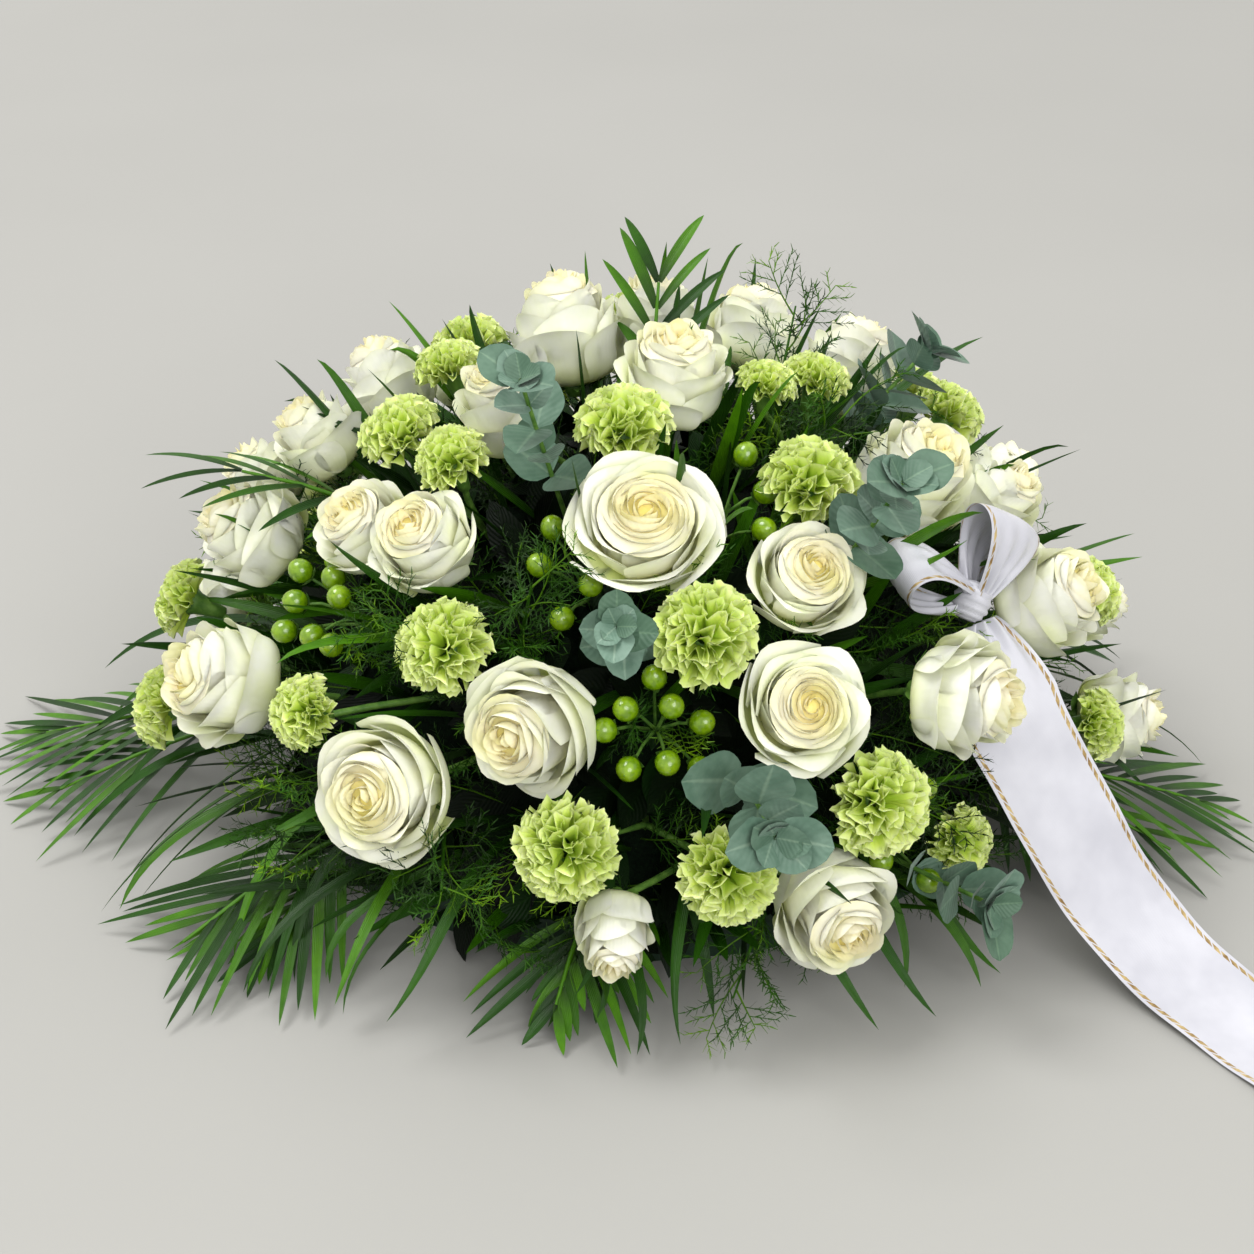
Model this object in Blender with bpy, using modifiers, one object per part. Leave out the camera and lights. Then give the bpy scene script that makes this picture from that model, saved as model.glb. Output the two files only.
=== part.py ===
"""Domed funeral cushion of roses, carnations, berries and foliage in a tray of floral foam, with a bow.

Metres, +Z up. The origin is the centre of the tray's underside, and the front faces -Y.
Azimuth 0 is the front and 90 the right, and height is the angle above the dome's widest level, in degrees.
Each node's random numbers are seeded with its own name.
"""

import math
import random
from collections import namedtuple

import bmesh
import bpy
from mathutils import Matrix, Vector
from mathutils.bvhtree import BVHTree

# Driving dimensions
DOME_AXES = Vector((0.297, 0.267, 0.253))  # where the middles of the blooms lie
DOME_LEVEL = 0.041  # height of the dome's widest level
FOAM_SHARE = 0.68  # the foam's size as a share of the dome's
FOAM_SIDES = 20
FOAM_RINGS = 7
TRAY_RADIUS = 0.2145
TRAY_HEIGHT = 0.028
TRAY_WALL = 0.0022
RIM_WIDTH = 0.0055
TRAY_FLOOR = 0.004
TRAY_SIDES = 20
GAP = 0.0003  # between pieces that touch
CLEAR = 0.0006  # between foliage and everything else
STEM_RADIUS = 0.0022
SPRIG_RADIUS = 0.0017
BRANCH_RADIUS = 0.0020
TWIG_RADIUS = 0.0012  # at a sprig's tip
ROOT_DEPTH = 0.024  # how deep a stem stands in the foam
HOLE_SLACK = 0.0005
FORK_HEIGHT = 0.012  # where fronds part, above the foam
OVERLAP = 0.004  # how far one stem runs into the next
TURN_STEP = 2.4  # radians from one leaf of a sprig to the next
STEM_SIDES = 3
LEAF_NECK = 0.0004  # half a leaf's width where it meets its stem
FROND_BARE = 0.25  # the share of a frond or a fern branch below its first leaflets
SPRIG_BARE = 0.42
LAST_LEAF = 0.99  # how far along its stem the last leaf stands
RAISED_DROOP = 0.22  # how far a leaflet of a raised frond falls, as a share of its length
MOST_DROOP = 0.35
FLOOR_CLEAR = 0.0008
LARGE_ROSE = 0.071
LARGE_CARNATION = 0.053
HEAD_SPACING = 1.06  # least distance between two heads' middles, as a share of their mean width
SETTLE_ROUNDS = 40
SMOOTH_ANGLE = math.radians(40)
RIBBON_WIDTH = 0.070
RIBBON_THICKNESS = 0.0008

FOCUS = Vector((0, 0, DOME_LEVEL))
UP = Vector((0, 0, 1))

# A bloom's place on the dome, its width, how far it is open from 0 to 1, how far it stands proud
# of the dome, and where it faces if that isn't straight out
Bloom = namedtuple("Bloom", "azimuth height across open lift face", defaults=(0.6, 0.0, None))

ROSES = {
    "roses_01": [Bloom(3, 57, 0.086, 1.0), Bloom(27, 50, 0.066, 0.75)],
    "roses_02": [Bloom(-56, 50, 0.058, 0.55), Bloom(-42, 52, 0.062, 0.5)],
    "roses_03": [Bloom(-152, 71, 0.070, 0.25), Bloom(172, 67, 0.058, 0.4)],
    "roses_04": [Bloom(39, 84, 0.068, 0.45), Bloom(-63, 72, 0.057, 0.2)],
    "roses_05": [Bloom(155, 62, 0.064, 0.45), Bloom(131, 54, 0.062, 0.4)],
    "roses_06": [Bloom(-122, 52, 0.058, 0.3), Bloom(-100, 48, 0.058, 0.45)],
    "roses_07": [Bloom(-82, 38, 0.066, 0.4), Bloom(-104, 36, 0.052, 0.35)],
    "roses_08": [Bloom(68, 55, 0.070, 0.4), Bloom(82, 44, 0.048, 0.3)],
    "roses_09": [Bloom(69, 33, 0.066, 0.4, 0.006)],
    "roses_10": [Bloom(41, 30, 0.070, 0.5, 0.020, (60, 10))],
    "roses_11": [Bloom(19, 35, 0.072, 0.9)],
    "roses_12": [Bloom(-14, 31, 0.075, 0.6, 0.0, (-32, 10)), Bloom(-31, 21, 0.080, 0.75)],
    "roses_13": [Bloom(-64, 23, 0.072, 0.45)],
    "roses_14": [
        Bloom(-3, 7, 0.044, 0.1, 0.0, (-3, -28)),
        Bloom(21, 8, 0.069, 0.45, 0.0, (18, -6)),
    ],
    "roses_15": [Bloom(82, 7, 0.058, 0.4), Bloom(99, 15, 0.044, 0.4)],
    "roses_16": [Bloom(180, 45, 0.066, 0.8), Bloom(-150, 42, 0.062, 0.6)],
    "roses_17": [Bloom(149, 34, 0.066, 0.8), Bloom(120, 26, 0.060, 0.5)],
    "roses_18": [
        Bloom(-129, 26, 0.066, 0.7),
        Bloom(-157, 16, 0.072, 0.9),
        Bloom(-114, 8, 0.056, 0.4),
    ],
    "roses_19": [Bloom(173, 20, 0.070, 0.75), Bloom(142, 9, 0.058, 0.5)],
}

CARNATIONS = {
    "carnations_01": [Bloom(-134, 60, 0.044), Bloom(-108, 66, 0.040)],
    "carnations_02": [Bloom(-75, 61, 0.047), Bloom(-52, 63, 0.042)],
    "carnations_03": [Bloom(-5, 74, 0.052)],
    "carnations_04": [Bloom(39, 60, 0.054)],
    "carnations_05": [Bloom(92, 70, 0.038), Bloom(72, 76, 0.034), Bloom(112, 47, 0.044)],
    "carnations_06": [Bloom(-94, 19, 0.046), Bloom(-81, 9, 0.046)],
    "carnations_07": [Bloom(-28, 40, 0.050), Bloom(-45, 27, 0.040)],
    "carnations_08": [Bloom(12, 45, 0.054)],
    "carnations_09": [Bloom(26, 23, 0.055), Bloom(40, 10, 0.040, 0.6, -0.018)],
    "carnations_10": [Bloom(-9, 20, 0.054), Bloom(9, 15, 0.052)],
    "carnations_11": [Bloom(88, 24, 0.042), Bloom(67, 15, 0.040)],
    "carnations_12": [Bloom(-178, 56, 0.044), Bloom(-166, 30, 0.048)],
    "carnations_13": [Bloom(-134, 9, 0.046), Bloom(-173, 8, 0.048)],
    "carnations_14": [Bloom(128, 42, 0.044), Bloom(158, 23, 0.045)],
}

# Radius and height of each ring of a rose head, from its hip to its heart, in head radii.
# From the third ring on they are by turns the lip of a whorl of petals and the groove inside it.
ROSE_OPEN = (
    (0.24, -0.55), (0.74, -0.36), (1.00, -0.02), (0.77, -0.06), (0.76, 0.22), (0.52, 0.10), (0.46, 0.34),
    (0.24, 0.22), (0.0, 0.40),
)
ROSE_BUD = (
    (0.30, -1.25), (0.84, -0.90), (0.98, -0.10), (0.84, -0.08), (0.80, 0.45), (0.60, 0.38), (0.54, 0.80),
    (0.32, 0.68), (0.0, 0.92),
)
ROSE_FOOT = 0.10  # how far the hip's end lies below the first ring
LIP_RINGS = {2: 0.10, 4: 0.09, 6: 0.08}  # ring: how far its petals stand out

# The same for a carnation: calyx, neck, then rings of ruffles
CARNATION = ((0.20, -1.10), (0.30, -0.42), (0.96, -0.10), (0.95, 0.26), (0.66, 0.56), (0.30, 0.68))
CARNATION_FOOT = -1.22
CARNATION_TOP = 0.62
RUFFLE = 0.2

# A spray of berries: where it stands, its reach as a share of the dome's, and how many berries it has
Spray = namedtuple("Spray", "azimuth height reach count")
BERRY_SPRAYS = {
    "berries_01": Spray(-58, 39, 0.94, 8),
    "berries_02": Spray(2, 33, 0.95, 8),
    "berries_03": Spray(-13, 54, 0.93, 5),
    "berries_04": Spray(26, 65, 0.95, 4),
    "berries_05": Spray(33, 14, 0.95, 6),
}
BERRY_RADIUS = 0.0072
BERRY_LENGTH = 1.15
BERRY_SPREAD = 0.031

# A sprig of eucalyptus: where it leaves the foam, where its tip heads, its length and its pairs of leaves
Sprig = namedtuple("Sprig", "azimuth height heading length pairs leaf")
EUCALYPTUS = {
    "eucalyptus_01": Sprig(-32, 66, (-20, 62), 0.145, 3, 0.034),
    "eucalyptus_02": Sprig(42, 47, (30, 60), 0.150, 5, 0.036),
    "eucalyptus_03": Sprig(-3, 44, (-6, 34), 0.118, 4, 0.028),
    "eucalyptus_04": Sprig(14, 26, (8, 6), 0.150, 3, 0.040),
    "eucalyptus_05": Sprig(98, 58, (106, 42), 0.115, 4, 0.038),
    "eucalyptus_06": Sprig(36, 8, (40, 8), 0.125, 4, 0.034),
}

# A palm frond: its azimuth, the height at which it leaves the foam, how far it rises or droops,
# its length past the foam and its pairs of leaflets
Frond = namedtuple("Frond", "azimuth height rise length pairs leaflet")
PALMS = {
    "palm_01": [Frond(-102, 6, -8, 0.17, 6, 0.120), Frond(-78, 5, -9, 0.15, 6, 0.120)],
    "palm_02": [Frond(-59, 5, -10, 0.12, 5, 0.105), Frond(-38, 4, -12, 0.09, 5, 0.095)],
    "palm_03": [Frond(-20, 4, -13, 0.065, 4, 0.085), Frond(6, 3, -14, 0.045, 3, 0.060)],
    "palm_04": [
        Frond(96, 5, -8, 0.14, 5, 0.105),
        Frond(72, 4, -10, 0.12, 5, 0.100),
        Frond(50, 3, -12, 0.05, 3, 0.070),
    ],
    "palm_05": [Frond(140, 4, -10, 0.15, 6, 0.110), Frond(178, 4, -10, 0.14, 6, 0.110)],
    "palm_06": [Frond(-85, 52, 32, 0.12, 5, 0.080)],
    "palm_07": [Frond(172, 82, 68, 0.115, 5, 0.075)],
}
RIB_RADIUS = 0.0020
RIB_SAG = 0.02
LEAFLET_WIDTH = 0.0072
LEAFLET_THICKNESS = 0.0008
LEAF_THICKNESS = 0.0006

# Fern sprays: where each branch's tip heads, and its length
FERNS = {
    "fern_01": [(-22, 13, 0.11), (-44, 12, 0.10)],
    "fern_02": [(10, 0, 0.11), (37, 19, 0.09)],
    "fern_03": [(112, 72, 0.11), (62, 66, 0.10)],
    "fern_04": [(-145, 28, 0.11), (-120, 16, 0.10)],
    "fern_05": [(-36, 41, 0.10), (-18, 48, 0.10)],
}
FERN_NEEDLES = 6
NEEDLE_LENGTH = 0.028

# The ribbon's middle line, from the knot down to its cut end on the floor, and the way its right edge points
RIBBON_ROUTE = (
    ((0.191, -0.111, 0.179), (0.80, 0.58, 0.05)),
    ((0.196, -0.118, 0.168), (0.80, 0.58, 0.05)),
    ((0.202, -0.138, 0.158), (0.82, 0.57, 0.02)),
    ((0.209, -0.156, 0.138), (0.84, 0.54, 0.0)),
    ((0.229, -0.166, 0.103), (0.84, 0.54, 0.0)),
    ((0.254, -0.178, 0.060), (0.84, 0.54, 0.0)),
    ((0.281, -0.192, 0.026), (0.84, 0.54, 0.0)),
    ((0.308, -0.217, 0.007), (0.81, 0.58, 0.0)),
    ((0.332, -0.248, 0.0012), (0.78, 0.62, 0.0)),
    ((0.359, -0.285, 0.0012), (0.79, 0.61, 0.0)),
    ((0.386, -0.317, 0.0012), (0.77, 0.64, 0.0)),
    ((0.413, -0.345, 0.0012), (0.75, 0.66, 0.0)),
)
RIBBON_STATIONS = 20
RIBBON_GATHER = 0.32  # the tail's width at the knot, as a share of its full width
KNOT = (0.186, -0.104, 0.190)
BOW_LOOPS = (  # the way of a loop, the way of its height, and its length
    ((-0.85, -0.17, 0.50), (0, 0, 1), 0.050),
    ((0.35, 0.40, 0.75), (0.7, -0.6, 0.2), 0.050),
)
LOOP_HEIGHT = 0.042
LOOP_WIDTH = 0.058
LOOP_STATIONS = 9
KNOT_RADIUS = 0.012

WHITE_PETAL = ("white_petal", (0.86, 0.85, 0.72), 0.55, 0.0)
GREEN_PETAL = ("green_petal", (0.50, 0.66, 0.20), 0.60, 0.0)
BERRY_GREEN = ("berry_green", (0.16, 0.36, 0.04), 0.25, 0.0)
EUCALYPTUS_LEAF = ("eucalyptus_leaf", (0.20, 0.33, 0.26), 0.55, 0.0)
PALM_LEAF = ("palm_leaf", (0.03, 0.17, 0.02), 0.35, 0.0)
FERN_GREEN = ("fern_green", (0.08, 0.26, 0.03), 0.60, 0.0)
SATIN = ("satin", (0.88, 0.88, 0.92), 0.35, 0.0)
FOAM = ("foam", (0.03, 0.10, 0.04), 0.95, 0.0)
TRAY_PLASTIC = ("tray_plastic", (0.02, 0.06, 0.03), 0.40, 0.0)


# Directions and places on the dome
def direction(azimuth, height):
    a, h = math.radians(azimuth), math.radians(height)
    return Vector((math.cos(h) * math.sin(a), -math.cos(h) * math.cos(a), math.sin(h)))


def on_dome(azimuth, height, share=1.0):
    """The point of the dome, or of a smaller one round the same focus, at these angles."""
    way = direction(azimuth, height)
    return FOCUS + share * Vector(a * w for a, w in zip(DOME_AXES, way))


def outward(point):
    """The dome's outward normal at a point's angles."""
    return Vector((p / a**2 for p, a in zip(point - FOCUS, DOME_AXES))).normalized()


def foam_point(way):
    """Where a line from the focus leaves the foam."""
    scaled = Vector(w / (a * FOAM_SHARE) for w, a in zip(way, DOME_AXES))
    return FOCUS + way / scaled.length


def head_of(bloom):
    """A bloom's middle and the way that it faces."""
    middle = on_dome(bloom.azimuth, bloom.height)
    normal = outward(middle)
    face = direction(*bloom.face) if bloom.face else normal
    return middle + bloom.lift * normal, face


def settled(bunches):
    """Each bunch's (bloom, middle, face) list, after crowded neighbours have pushed each other apart."""
    heads = []
    for group in bunches:
        for name, blooms in group.items():
            heads += [(name, bloom, *head_of(bloom)) for bloom in blooms]
    middles = [middle for _, _, middle, _ in heads]
    for _ in range(SETTLE_ROUNDS):
        for i, (first, a, _, _) in enumerate(heads):
            for j in range(i + 1, len(heads)):
                second, b = heads[j][:2]
                if first == second:
                    continue
                apart = middles[i] - middles[j]
                short = HEAD_SPACING * (a.across + b.across) / 2 - apart.length
                if short > 0:
                    push = apart.normalized() * short / 2
                    middles[i] += push
                    middles[j] -= push
    placed = {}
    for (name, bloom, _, face), middle in zip(heads, middles):
        placed.setdefault(name, []).append((bloom, middle, face))
    return placed


def axes_along(way, turn=0.0):
    """A rotation that takes +Z to way, with a turn about it."""
    return way.to_track_quat("Z", "Y").to_matrix() @ Matrix.Rotation(turn, 3, "Z")


# Closed bodies, each as a bmesh
def spindle(sides, rings, place):
    """A body with a pole at each end: place(ring, side) gives each point, poles first and last."""
    bm = bmesh.new()
    bmesh.ops.create_uvsphere(bm, u_segments=sides, v_segments=rings + 1, radius=1)
    moves = []
    for vert in bm.verts:
        ring = round((1 - math.acos(max(-1, min(1, vert.co.z))) / math.pi) * (rings + 1))
        side = round(math.atan2(vert.co.y, vert.co.x) / math.tau * sides) % sides
        moves.append((vert, place(ring, side)))
    for vert, point in moves:
        vert.co = point
    return bm


def rod(start, end, radius, end_radius=None):
    """A straight stem between two points."""
    bm = bmesh.new()
    along = end - start
    bmesh.ops.create_cone(
        bm,
        segments=STEM_SIDES,
        radius1=radius,
        radius2=radius if end_radius is None else end_radius,
        depth=along.length,
        cap_ends=True,
        matrix=Matrix.Translation((start + end) / 2) @ axes_along(along.normalized()).to_4x4(),
    )
    return bm


def tube(points, radius, end_radius, reference):
    """A stem through several points, tapering to end_radius, with a ridge away from reference."""
    last = len(points) - 1

    def place(ring, side):
        i = min(max(ring - 1, 0), last)
        along = (points[min(i + 1, last)] - points[max(i - 1, 0)]).normalized()
        size = radius + (end_radius - radius) * i / last
        if ring in (0, last + 2):
            return points[i] + along * size * (0.5 if ring else -0.5)
        across = along.cross(reference).normalized()
        turn = math.tau * side / STEM_SIDES + math.pi / 2
        return points[i] + size * (across * math.cos(turn) + along.cross(across) * math.sin(turn))

    return spindle(STEM_SIDES, last + 1, place)


def leaf_pair(spot, ways, up, lengths, width, thickness, droop=0.0, shape=(0.8, 1.0)):
    """Two leaves from one spot of a stem, in one body that is narrow where it crosses the stem.

    Ways are where the two set out, up their upper face, and shape their width from the stem to the tip.
    """
    middle = len(shape) + 1

    def spine(step):
        which = 0 if step < 0 else 1
        share = abs(step) / middle
        drop = UP * droop * lengths[which] * share**2
        return spot + ways[which] * lengths[which] * share - drop

    def place(ring, side):
        step = ring - middle
        if abs(step) == middle:
            return spine(step)
        travel = (spine(step + 1) - spine(step - 1)).normalized()
        across = travel.cross(up).normalized()
        half = shape[abs(step) - 1] * width / 2 if step else LEAF_NECK
        deep = thickness if step else LEAF_NECK
        turn = math.tau * side / 3 + math.pi / 2
        return spine(step) - across * math.cos(turn) * half + across.cross(travel) * math.sin(turn) * deep

    return spindle(3, 2 * middle - 1, place)


def rose_head(bloom, middle, face, dice):
    """Whorls of petals round a heart, each whorl's petals over the gaps of the one outside it."""
    radius = bloom.across / 2
    sides = 10 if bloom.across > LARGE_ROSE else 8
    rings = [
        [o * bloom.open + b * (1 - bloom.open) for o, b in zip(wide, closed)]
        for wide, closed in zip(ROSE_OPEN, ROSE_BUD)
    ]
    frame = axes_along(face, dice.uniform(0, math.tau))

    def place(ring, side):
        if ring == 0:
            return middle + frame @ Vector((0, 0, (rings[0][1] - ROSE_FOOT) * radius))
        out, up = rings[ring - 1]
        if ring - 1 in LIP_RINGS:
            petal = 1 if (side + ring // 2) % 2 else -1
            out += petal * LIP_RINGS[ring - 1] + dice.uniform(-0.02, 0.02)
            up += petal * 0.04 + dice.uniform(-0.02, 0.02)
        angle = math.tau * (side + 0.25 * ring) / sides
        return middle + frame @ (radius * Vector((out * math.cos(angle), out * math.sin(angle), up)))

    return spindle(sides, len(rings) - 1, place)


def rose_foot(bloom, middle, face):
    low = ROSE_OPEN[0][1] * bloom.open + ROSE_BUD[0][1] * (1 - bloom.open) - ROSE_FOOT
    return middle + face * (low * bloom.across / 2)


def carnation_head(bloom, middle, face, dice):
    """A calyx under a dome of ruffled petals, by turns standing out and drawn in."""
    radius = bloom.across / 2
    frame = axes_along(face, dice.uniform(0, math.tau))
    sides = 10 if bloom.across > LARGE_CARNATION else 8

    def place(ring, side):
        if ring in (0, len(CARNATION) + 1):
            return middle + frame @ Vector((0, 0, radius * (CARNATION_TOP if ring else CARNATION_FOOT)))
        out, up = CARNATION[ring - 1]
        if ring > 2:
            stand = RUFFLE * (1 if (side + ring) % 2 else -1) + dice.uniform(-0.03, 0.03)
            out *= 1 + stand
            up += 0.5 * stand
        angle = math.tau * (side + 0.2 * ring) / sides
        return middle + frame @ (radius * Vector((out * math.cos(angle), out * math.sin(angle), up)))

    return spindle(sides, len(CARNATION), place)


def carnation_foot(bloom, middle, face):
    return middle + face * (CARNATION_FOOT * bloom.across / 2)


def berry(start, end):
    """A berry at the end of a twig that widens towards it."""
    along = (end - start).normalized()
    frame = axes_along(along)
    far = (end - start).length / BERRY_RADIUS
    rings = ((0.0, -far), (0.17, -0.95), (0.94, -0.30), (0.86, 0.62), (0.0, BERRY_LENGTH))

    def place(ring, side):
        out, up = rings[ring]
        angle = math.tau * (side + 0.5 * ring) / 5
        return end + frame @ (BERRY_RADIUS * Vector((out * math.cos(angle), out * math.sin(angle), up)))

    return spindle(5, 3, place)


# Objects, materials and joins
def material(finish):
    name, colour, roughness, metallic = finish
    made = bpy.data.materials.get(name) or bpy.data.materials.new(name)
    made.use_nodes = True
    shader = made.node_tree.nodes["Principled BSDF"]
    shader.inputs["Base Color"].default_value = (*colour, 1)
    shader.inputs["Roughness"].default_value = roughness
    shader.inputs["Metallic"].default_value = metallic
    return made


def thing(name, bm, collection):
    """An object in a collection, with the bmesh as its mesh."""
    mesh = bpy.data.meshes.new(name)
    bm.to_mesh(mesh)
    bm.free()
    obj = bpy.data.objects.new(name, mesh)
    collection.objects.link(obj)
    return obj


def boolean(obj, operation, bodies):
    """Joins bodies to obj, or cuts them from it, and removes them."""
    helpers = bpy.data.collections.new(obj.name + "_helpers")
    bpy.context.scene.collection.children.link(helpers)
    for i, body in enumerate(bodies):
        thing(f"{obj.name}_helper_{i}", body, helpers)
    step = obj.modifiers.new(operation.lower(), "BOOLEAN")
    step.operation = operation
    step.operand_type = "COLLECTION"
    step.collection = helpers
    # EXACT leaves a loose sliver in a union of many petals
    step.solver = "MANIFOLD" if operation == "UNION" else "EXACT"
    graph = bpy.context.evaluated_depsgraph_get()
    joined = bpy.data.meshes.new_from_object(obj.evaluated_get(graph))
    obj.modifiers.clear()
    obj.data = joined
    for helper in list(helpers.objects):
        bpy.data.objects.remove(helper)
    bpy.data.collections.remove(helpers)


class Arrangement:
    """The collection, the surfaces placed in it so far, and the holes the stems need in the foam."""

    def __init__(self):
        self.collection = bpy.data.collections.new("funeral_cushion")
        bpy.context.scene.collection.children.link(self.collection)
        self.trees = []
        self.holes = []

    def add(self, name, bodies, finish):
        """One node from bodies that overlap, joined in one solid."""
        first, *others = bodies
        obj = thing(name, first, self.collection)
        if others:
            boolean(obj, "UNION", others)
        obj.data.materials.clear()
        obj.data.materials.append(material(finish))
        obj.data.shade_smooth()
        obj.data.set_sharp_from_angle(angle=SMOOTH_ANGLE)
        self.block(obj)
        return obj

    def block(self, obj):
        bm = bmesh.new()
        bm.from_mesh(obj.data)
        self.trees.append(BVHTree.FromBMesh(bm, epsilon=CLEAR))
        bm.free()

    def fits(self, bm, own):
        """Whether a body is clear of all nodes so far and of its own node's leaves, which it then joins."""
        tree = BVHTree.FromBMesh(bm, epsilon=CLEAR)
        if any(tree.overlap(other) for other in self.trees + own):
            return False
        own.append(tree)
        return True

    def root(self, aim, radius=STEM_RADIUS):
        """A stem's root in a hole of the foam, on the line from the focus to aim, and its way out."""
        way = (aim - FOCUS).normalized()
        surface = foam_point(way)
        bottom = surface - way * ROOT_DEPTH
        past = surface + way * 0.01
        self.holes.append(rod(bottom - way * 0.001, past, radius + HOLE_SLACK))
        return bottom, surface, way


# The holder
def foam_body():
    """A dome of foam with upright sides below its widest level, standing on the tray's floor."""
    axes = DOME_AXES * FOAM_SHARE
    low = TRAY_FLOOR + GAP

    def place(ring, side):
        if ring == 0:
            return Vector((0, 0, low))
        if ring == FOAM_RINGS + 1:
            return Vector((0, 0, DOME_LEVEL + axes.z))
        rise = math.pi / 2 * max(0, ring - 2) / (FOAM_RINGS - 1)
        angle = math.tau * side / FOAM_SIDES
        out = math.cos(rise)
        level = DOME_LEVEL + axes.z * math.sin(rise) if ring > 1 else low
        return Vector((math.cos(angle) * axes.x * out, math.sin(angle) * axes.y * out, level))

    return spindle(FOAM_SIDES, FOAM_RINGS, place)


def tray(arrangement):
    """A shallow dish with a narrow flat rim, as oval as the dome."""
    inner = TRAY_RADIUS - RIM_WIDTH
    under_rim = TRAY_HEIGHT - TRAY_WALL
    profile = [
        (0.0, TRAY_FLOOR),
        (inner - TRAY_WALL, TRAY_FLOOR),
        (inner, TRAY_HEIGHT),
        (TRAY_RADIUS, TRAY_HEIGHT),
        (TRAY_RADIUS, under_rim),
        (inner + TRAY_WALL, under_rim - 0.001),
        (inner, 0.0),
        (0.0, 0.0),
    ]
    mesh = bpy.data.meshes.new("tray")
    mesh.from_pydata([(x, 0, z) for x, z in profile], [(i, i + 1) for i in range(len(profile) - 1)], [])
    obj = bpy.data.objects.new("tray", mesh)
    arrangement.collection.objects.link(obj)
    turn = obj.modifiers.new("turn", "SCREW")
    turn.steps = turn.render_steps = TRAY_SIDES
    turn.use_merge_vertices = True
    turn.merge_threshold = 0.0001
    turn.use_normal_calculate = True
    graph = bpy.context.evaluated_depsgraph_get()
    turned = bpy.data.meshes.new_from_object(obj.evaluated_get(graph))
    obj.modifiers.clear()
    turned.transform(Matrix.Diagonal((1, DOME_AXES.y / DOME_AXES.x, 1, 1)))
    obj.data = turned
    obj.data.materials.append(material(TRAY_PLASTIC))
    obj.data.shade_smooth()
    obj.data.set_sharp_from_angle(angle=SMOOTH_ANGLE)
    arrangement.block(obj)


# Blooms
def bunch(arrangement, name, heads, make, foot_of, finish):
    """A few blooms on the branches of one stem, which stands in the foam."""
    dice = random.Random(name)
    feet = [foot_of(*head) for head in heads]
    aim = sum(feet, Vector()) / len(feet)
    bottom, surface, way = arrangement.root(aim)
    if len(heads) == 1:
        bodies = [rod(bottom, feet[0] + way * OVERLAP, STEM_RADIUS)]
    else:
        fork = surface + way * min(0.3 * (aim - surface).length, 0.02)
        ends = [foot + head[2] * OVERLAP for head, foot in zip(heads, feet)]
        branch = tube([ends[0], fork, ends[1]], BRANCH_RADIUS, BRANCH_RADIUS, way)
        bodies = [rod(bottom, fork, STEM_RADIUS), branch]
        bodies += [rod(fork - way * OVERLAP, end, BRANCH_RADIUS) for end in ends[2:]]
    bodies += [make(*head, dice) for head in heads]
    return arrangement.add(name, bodies, finish)


# Foliage
def berry_spray(arrangement, name, spray):
    """A stem with a berry on a twig at every turn round it."""
    dice = random.Random(name)
    tip = on_dome(spray.azimuth, spray.height, spray.reach)
    bottom, surface, way = arrangement.root(tip, SPRIG_RADIUS)
    frame = axes_along(way, dice.uniform(0, math.tau))
    top = surface + (tip - surface) * 0.75
    bodies = [rod(bottom, top, SPRIG_RADIUS, TWIG_RADIUS)]
    own = []
    for i in range(spray.count):
        angle = TURN_STEP * i
        share = (i + 0.5) / spray.count
        start = surface.lerp(top, 0.25 + 0.7 * share)
        for stretch in (1.0, 0.9, 0.8, 1.1):
            reach = BERRY_SPREAD * math.sqrt(1.15 - share) * stretch
            end = tip + frame @ Vector((math.cos(angle), math.sin(angle), 0)) * reach
            end += way * (BERRY_RADIUS * (share - 0.5) + dice.uniform(-0.004, 0.004))
            fruit = berry(start, end)
            if arrangement.fits(fruit, own):
                bodies.append(fruit)
                break
    arrangement.add(name, bodies, BERRY_GREEN)


def eucalyptus_sprig(arrangement, name, sprig):
    """A stem with pairs of round leaves, each pair set across the one below it."""
    dice = random.Random(name)
    aim = FOCUS + direction(sprig.azimuth, sprig.height)
    bottom, surface, way = arrangement.root(aim, SPRIG_RADIUS)
    heading = direction(*sprig.heading)
    points = [bottom, surface + way * OVERLAP]
    for i in range(1, 4):
        points.append(points[-1] + way.lerp(heading, i / 4).normalized() * sprig.length / 3)
    bodies = [tube(points, SPRIG_RADIUS, TWIG_RADIUS, -axes_along(way).col[1])]
    own = []
    for pair in range(sprig.pairs):
        share = SPRIG_BARE + (LAST_LEAF - SPRIG_BARE) * pair / (sprig.pairs - 1)
        spot, along = along_route(points[1:], share)
        frame = axes_along(along, pair * math.pi / 2 + dice.uniform(-0.3, 0.3))
        ways = [frame @ Vector((side, 0, 0.5)).normalized() for side in (-1, 1)]
        size = sprig.leaf * (1.0 - 0.25 * pair / sprig.pairs)
        for shorter in ((1, 1), (1, 0.6), (0.6, 1), (0.6, 0.6)):
            lengths = [size * s * dice.uniform(0.9, 1.1) for s in shorter]
            leaves = leaf_pair(spot, ways, along, lengths, size * 0.9, LEAF_THICKNESS, 0.05, (0.9, 0.95))
            if arrangement.fits(leaves, own):
                bodies.append(leaves)
                break
    arrangement.add(name, bodies, EUCALYPTUS_LEAF)


def along_route(points, share):
    """The place and the direction at a share of the way along straight runs of equal length."""
    at = share * (len(points) - 1)
    low = min(int(at), len(points) - 2)
    run = points[low + 1] - points[low]
    return points[low] + run * (at - low), run.normalized()


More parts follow.
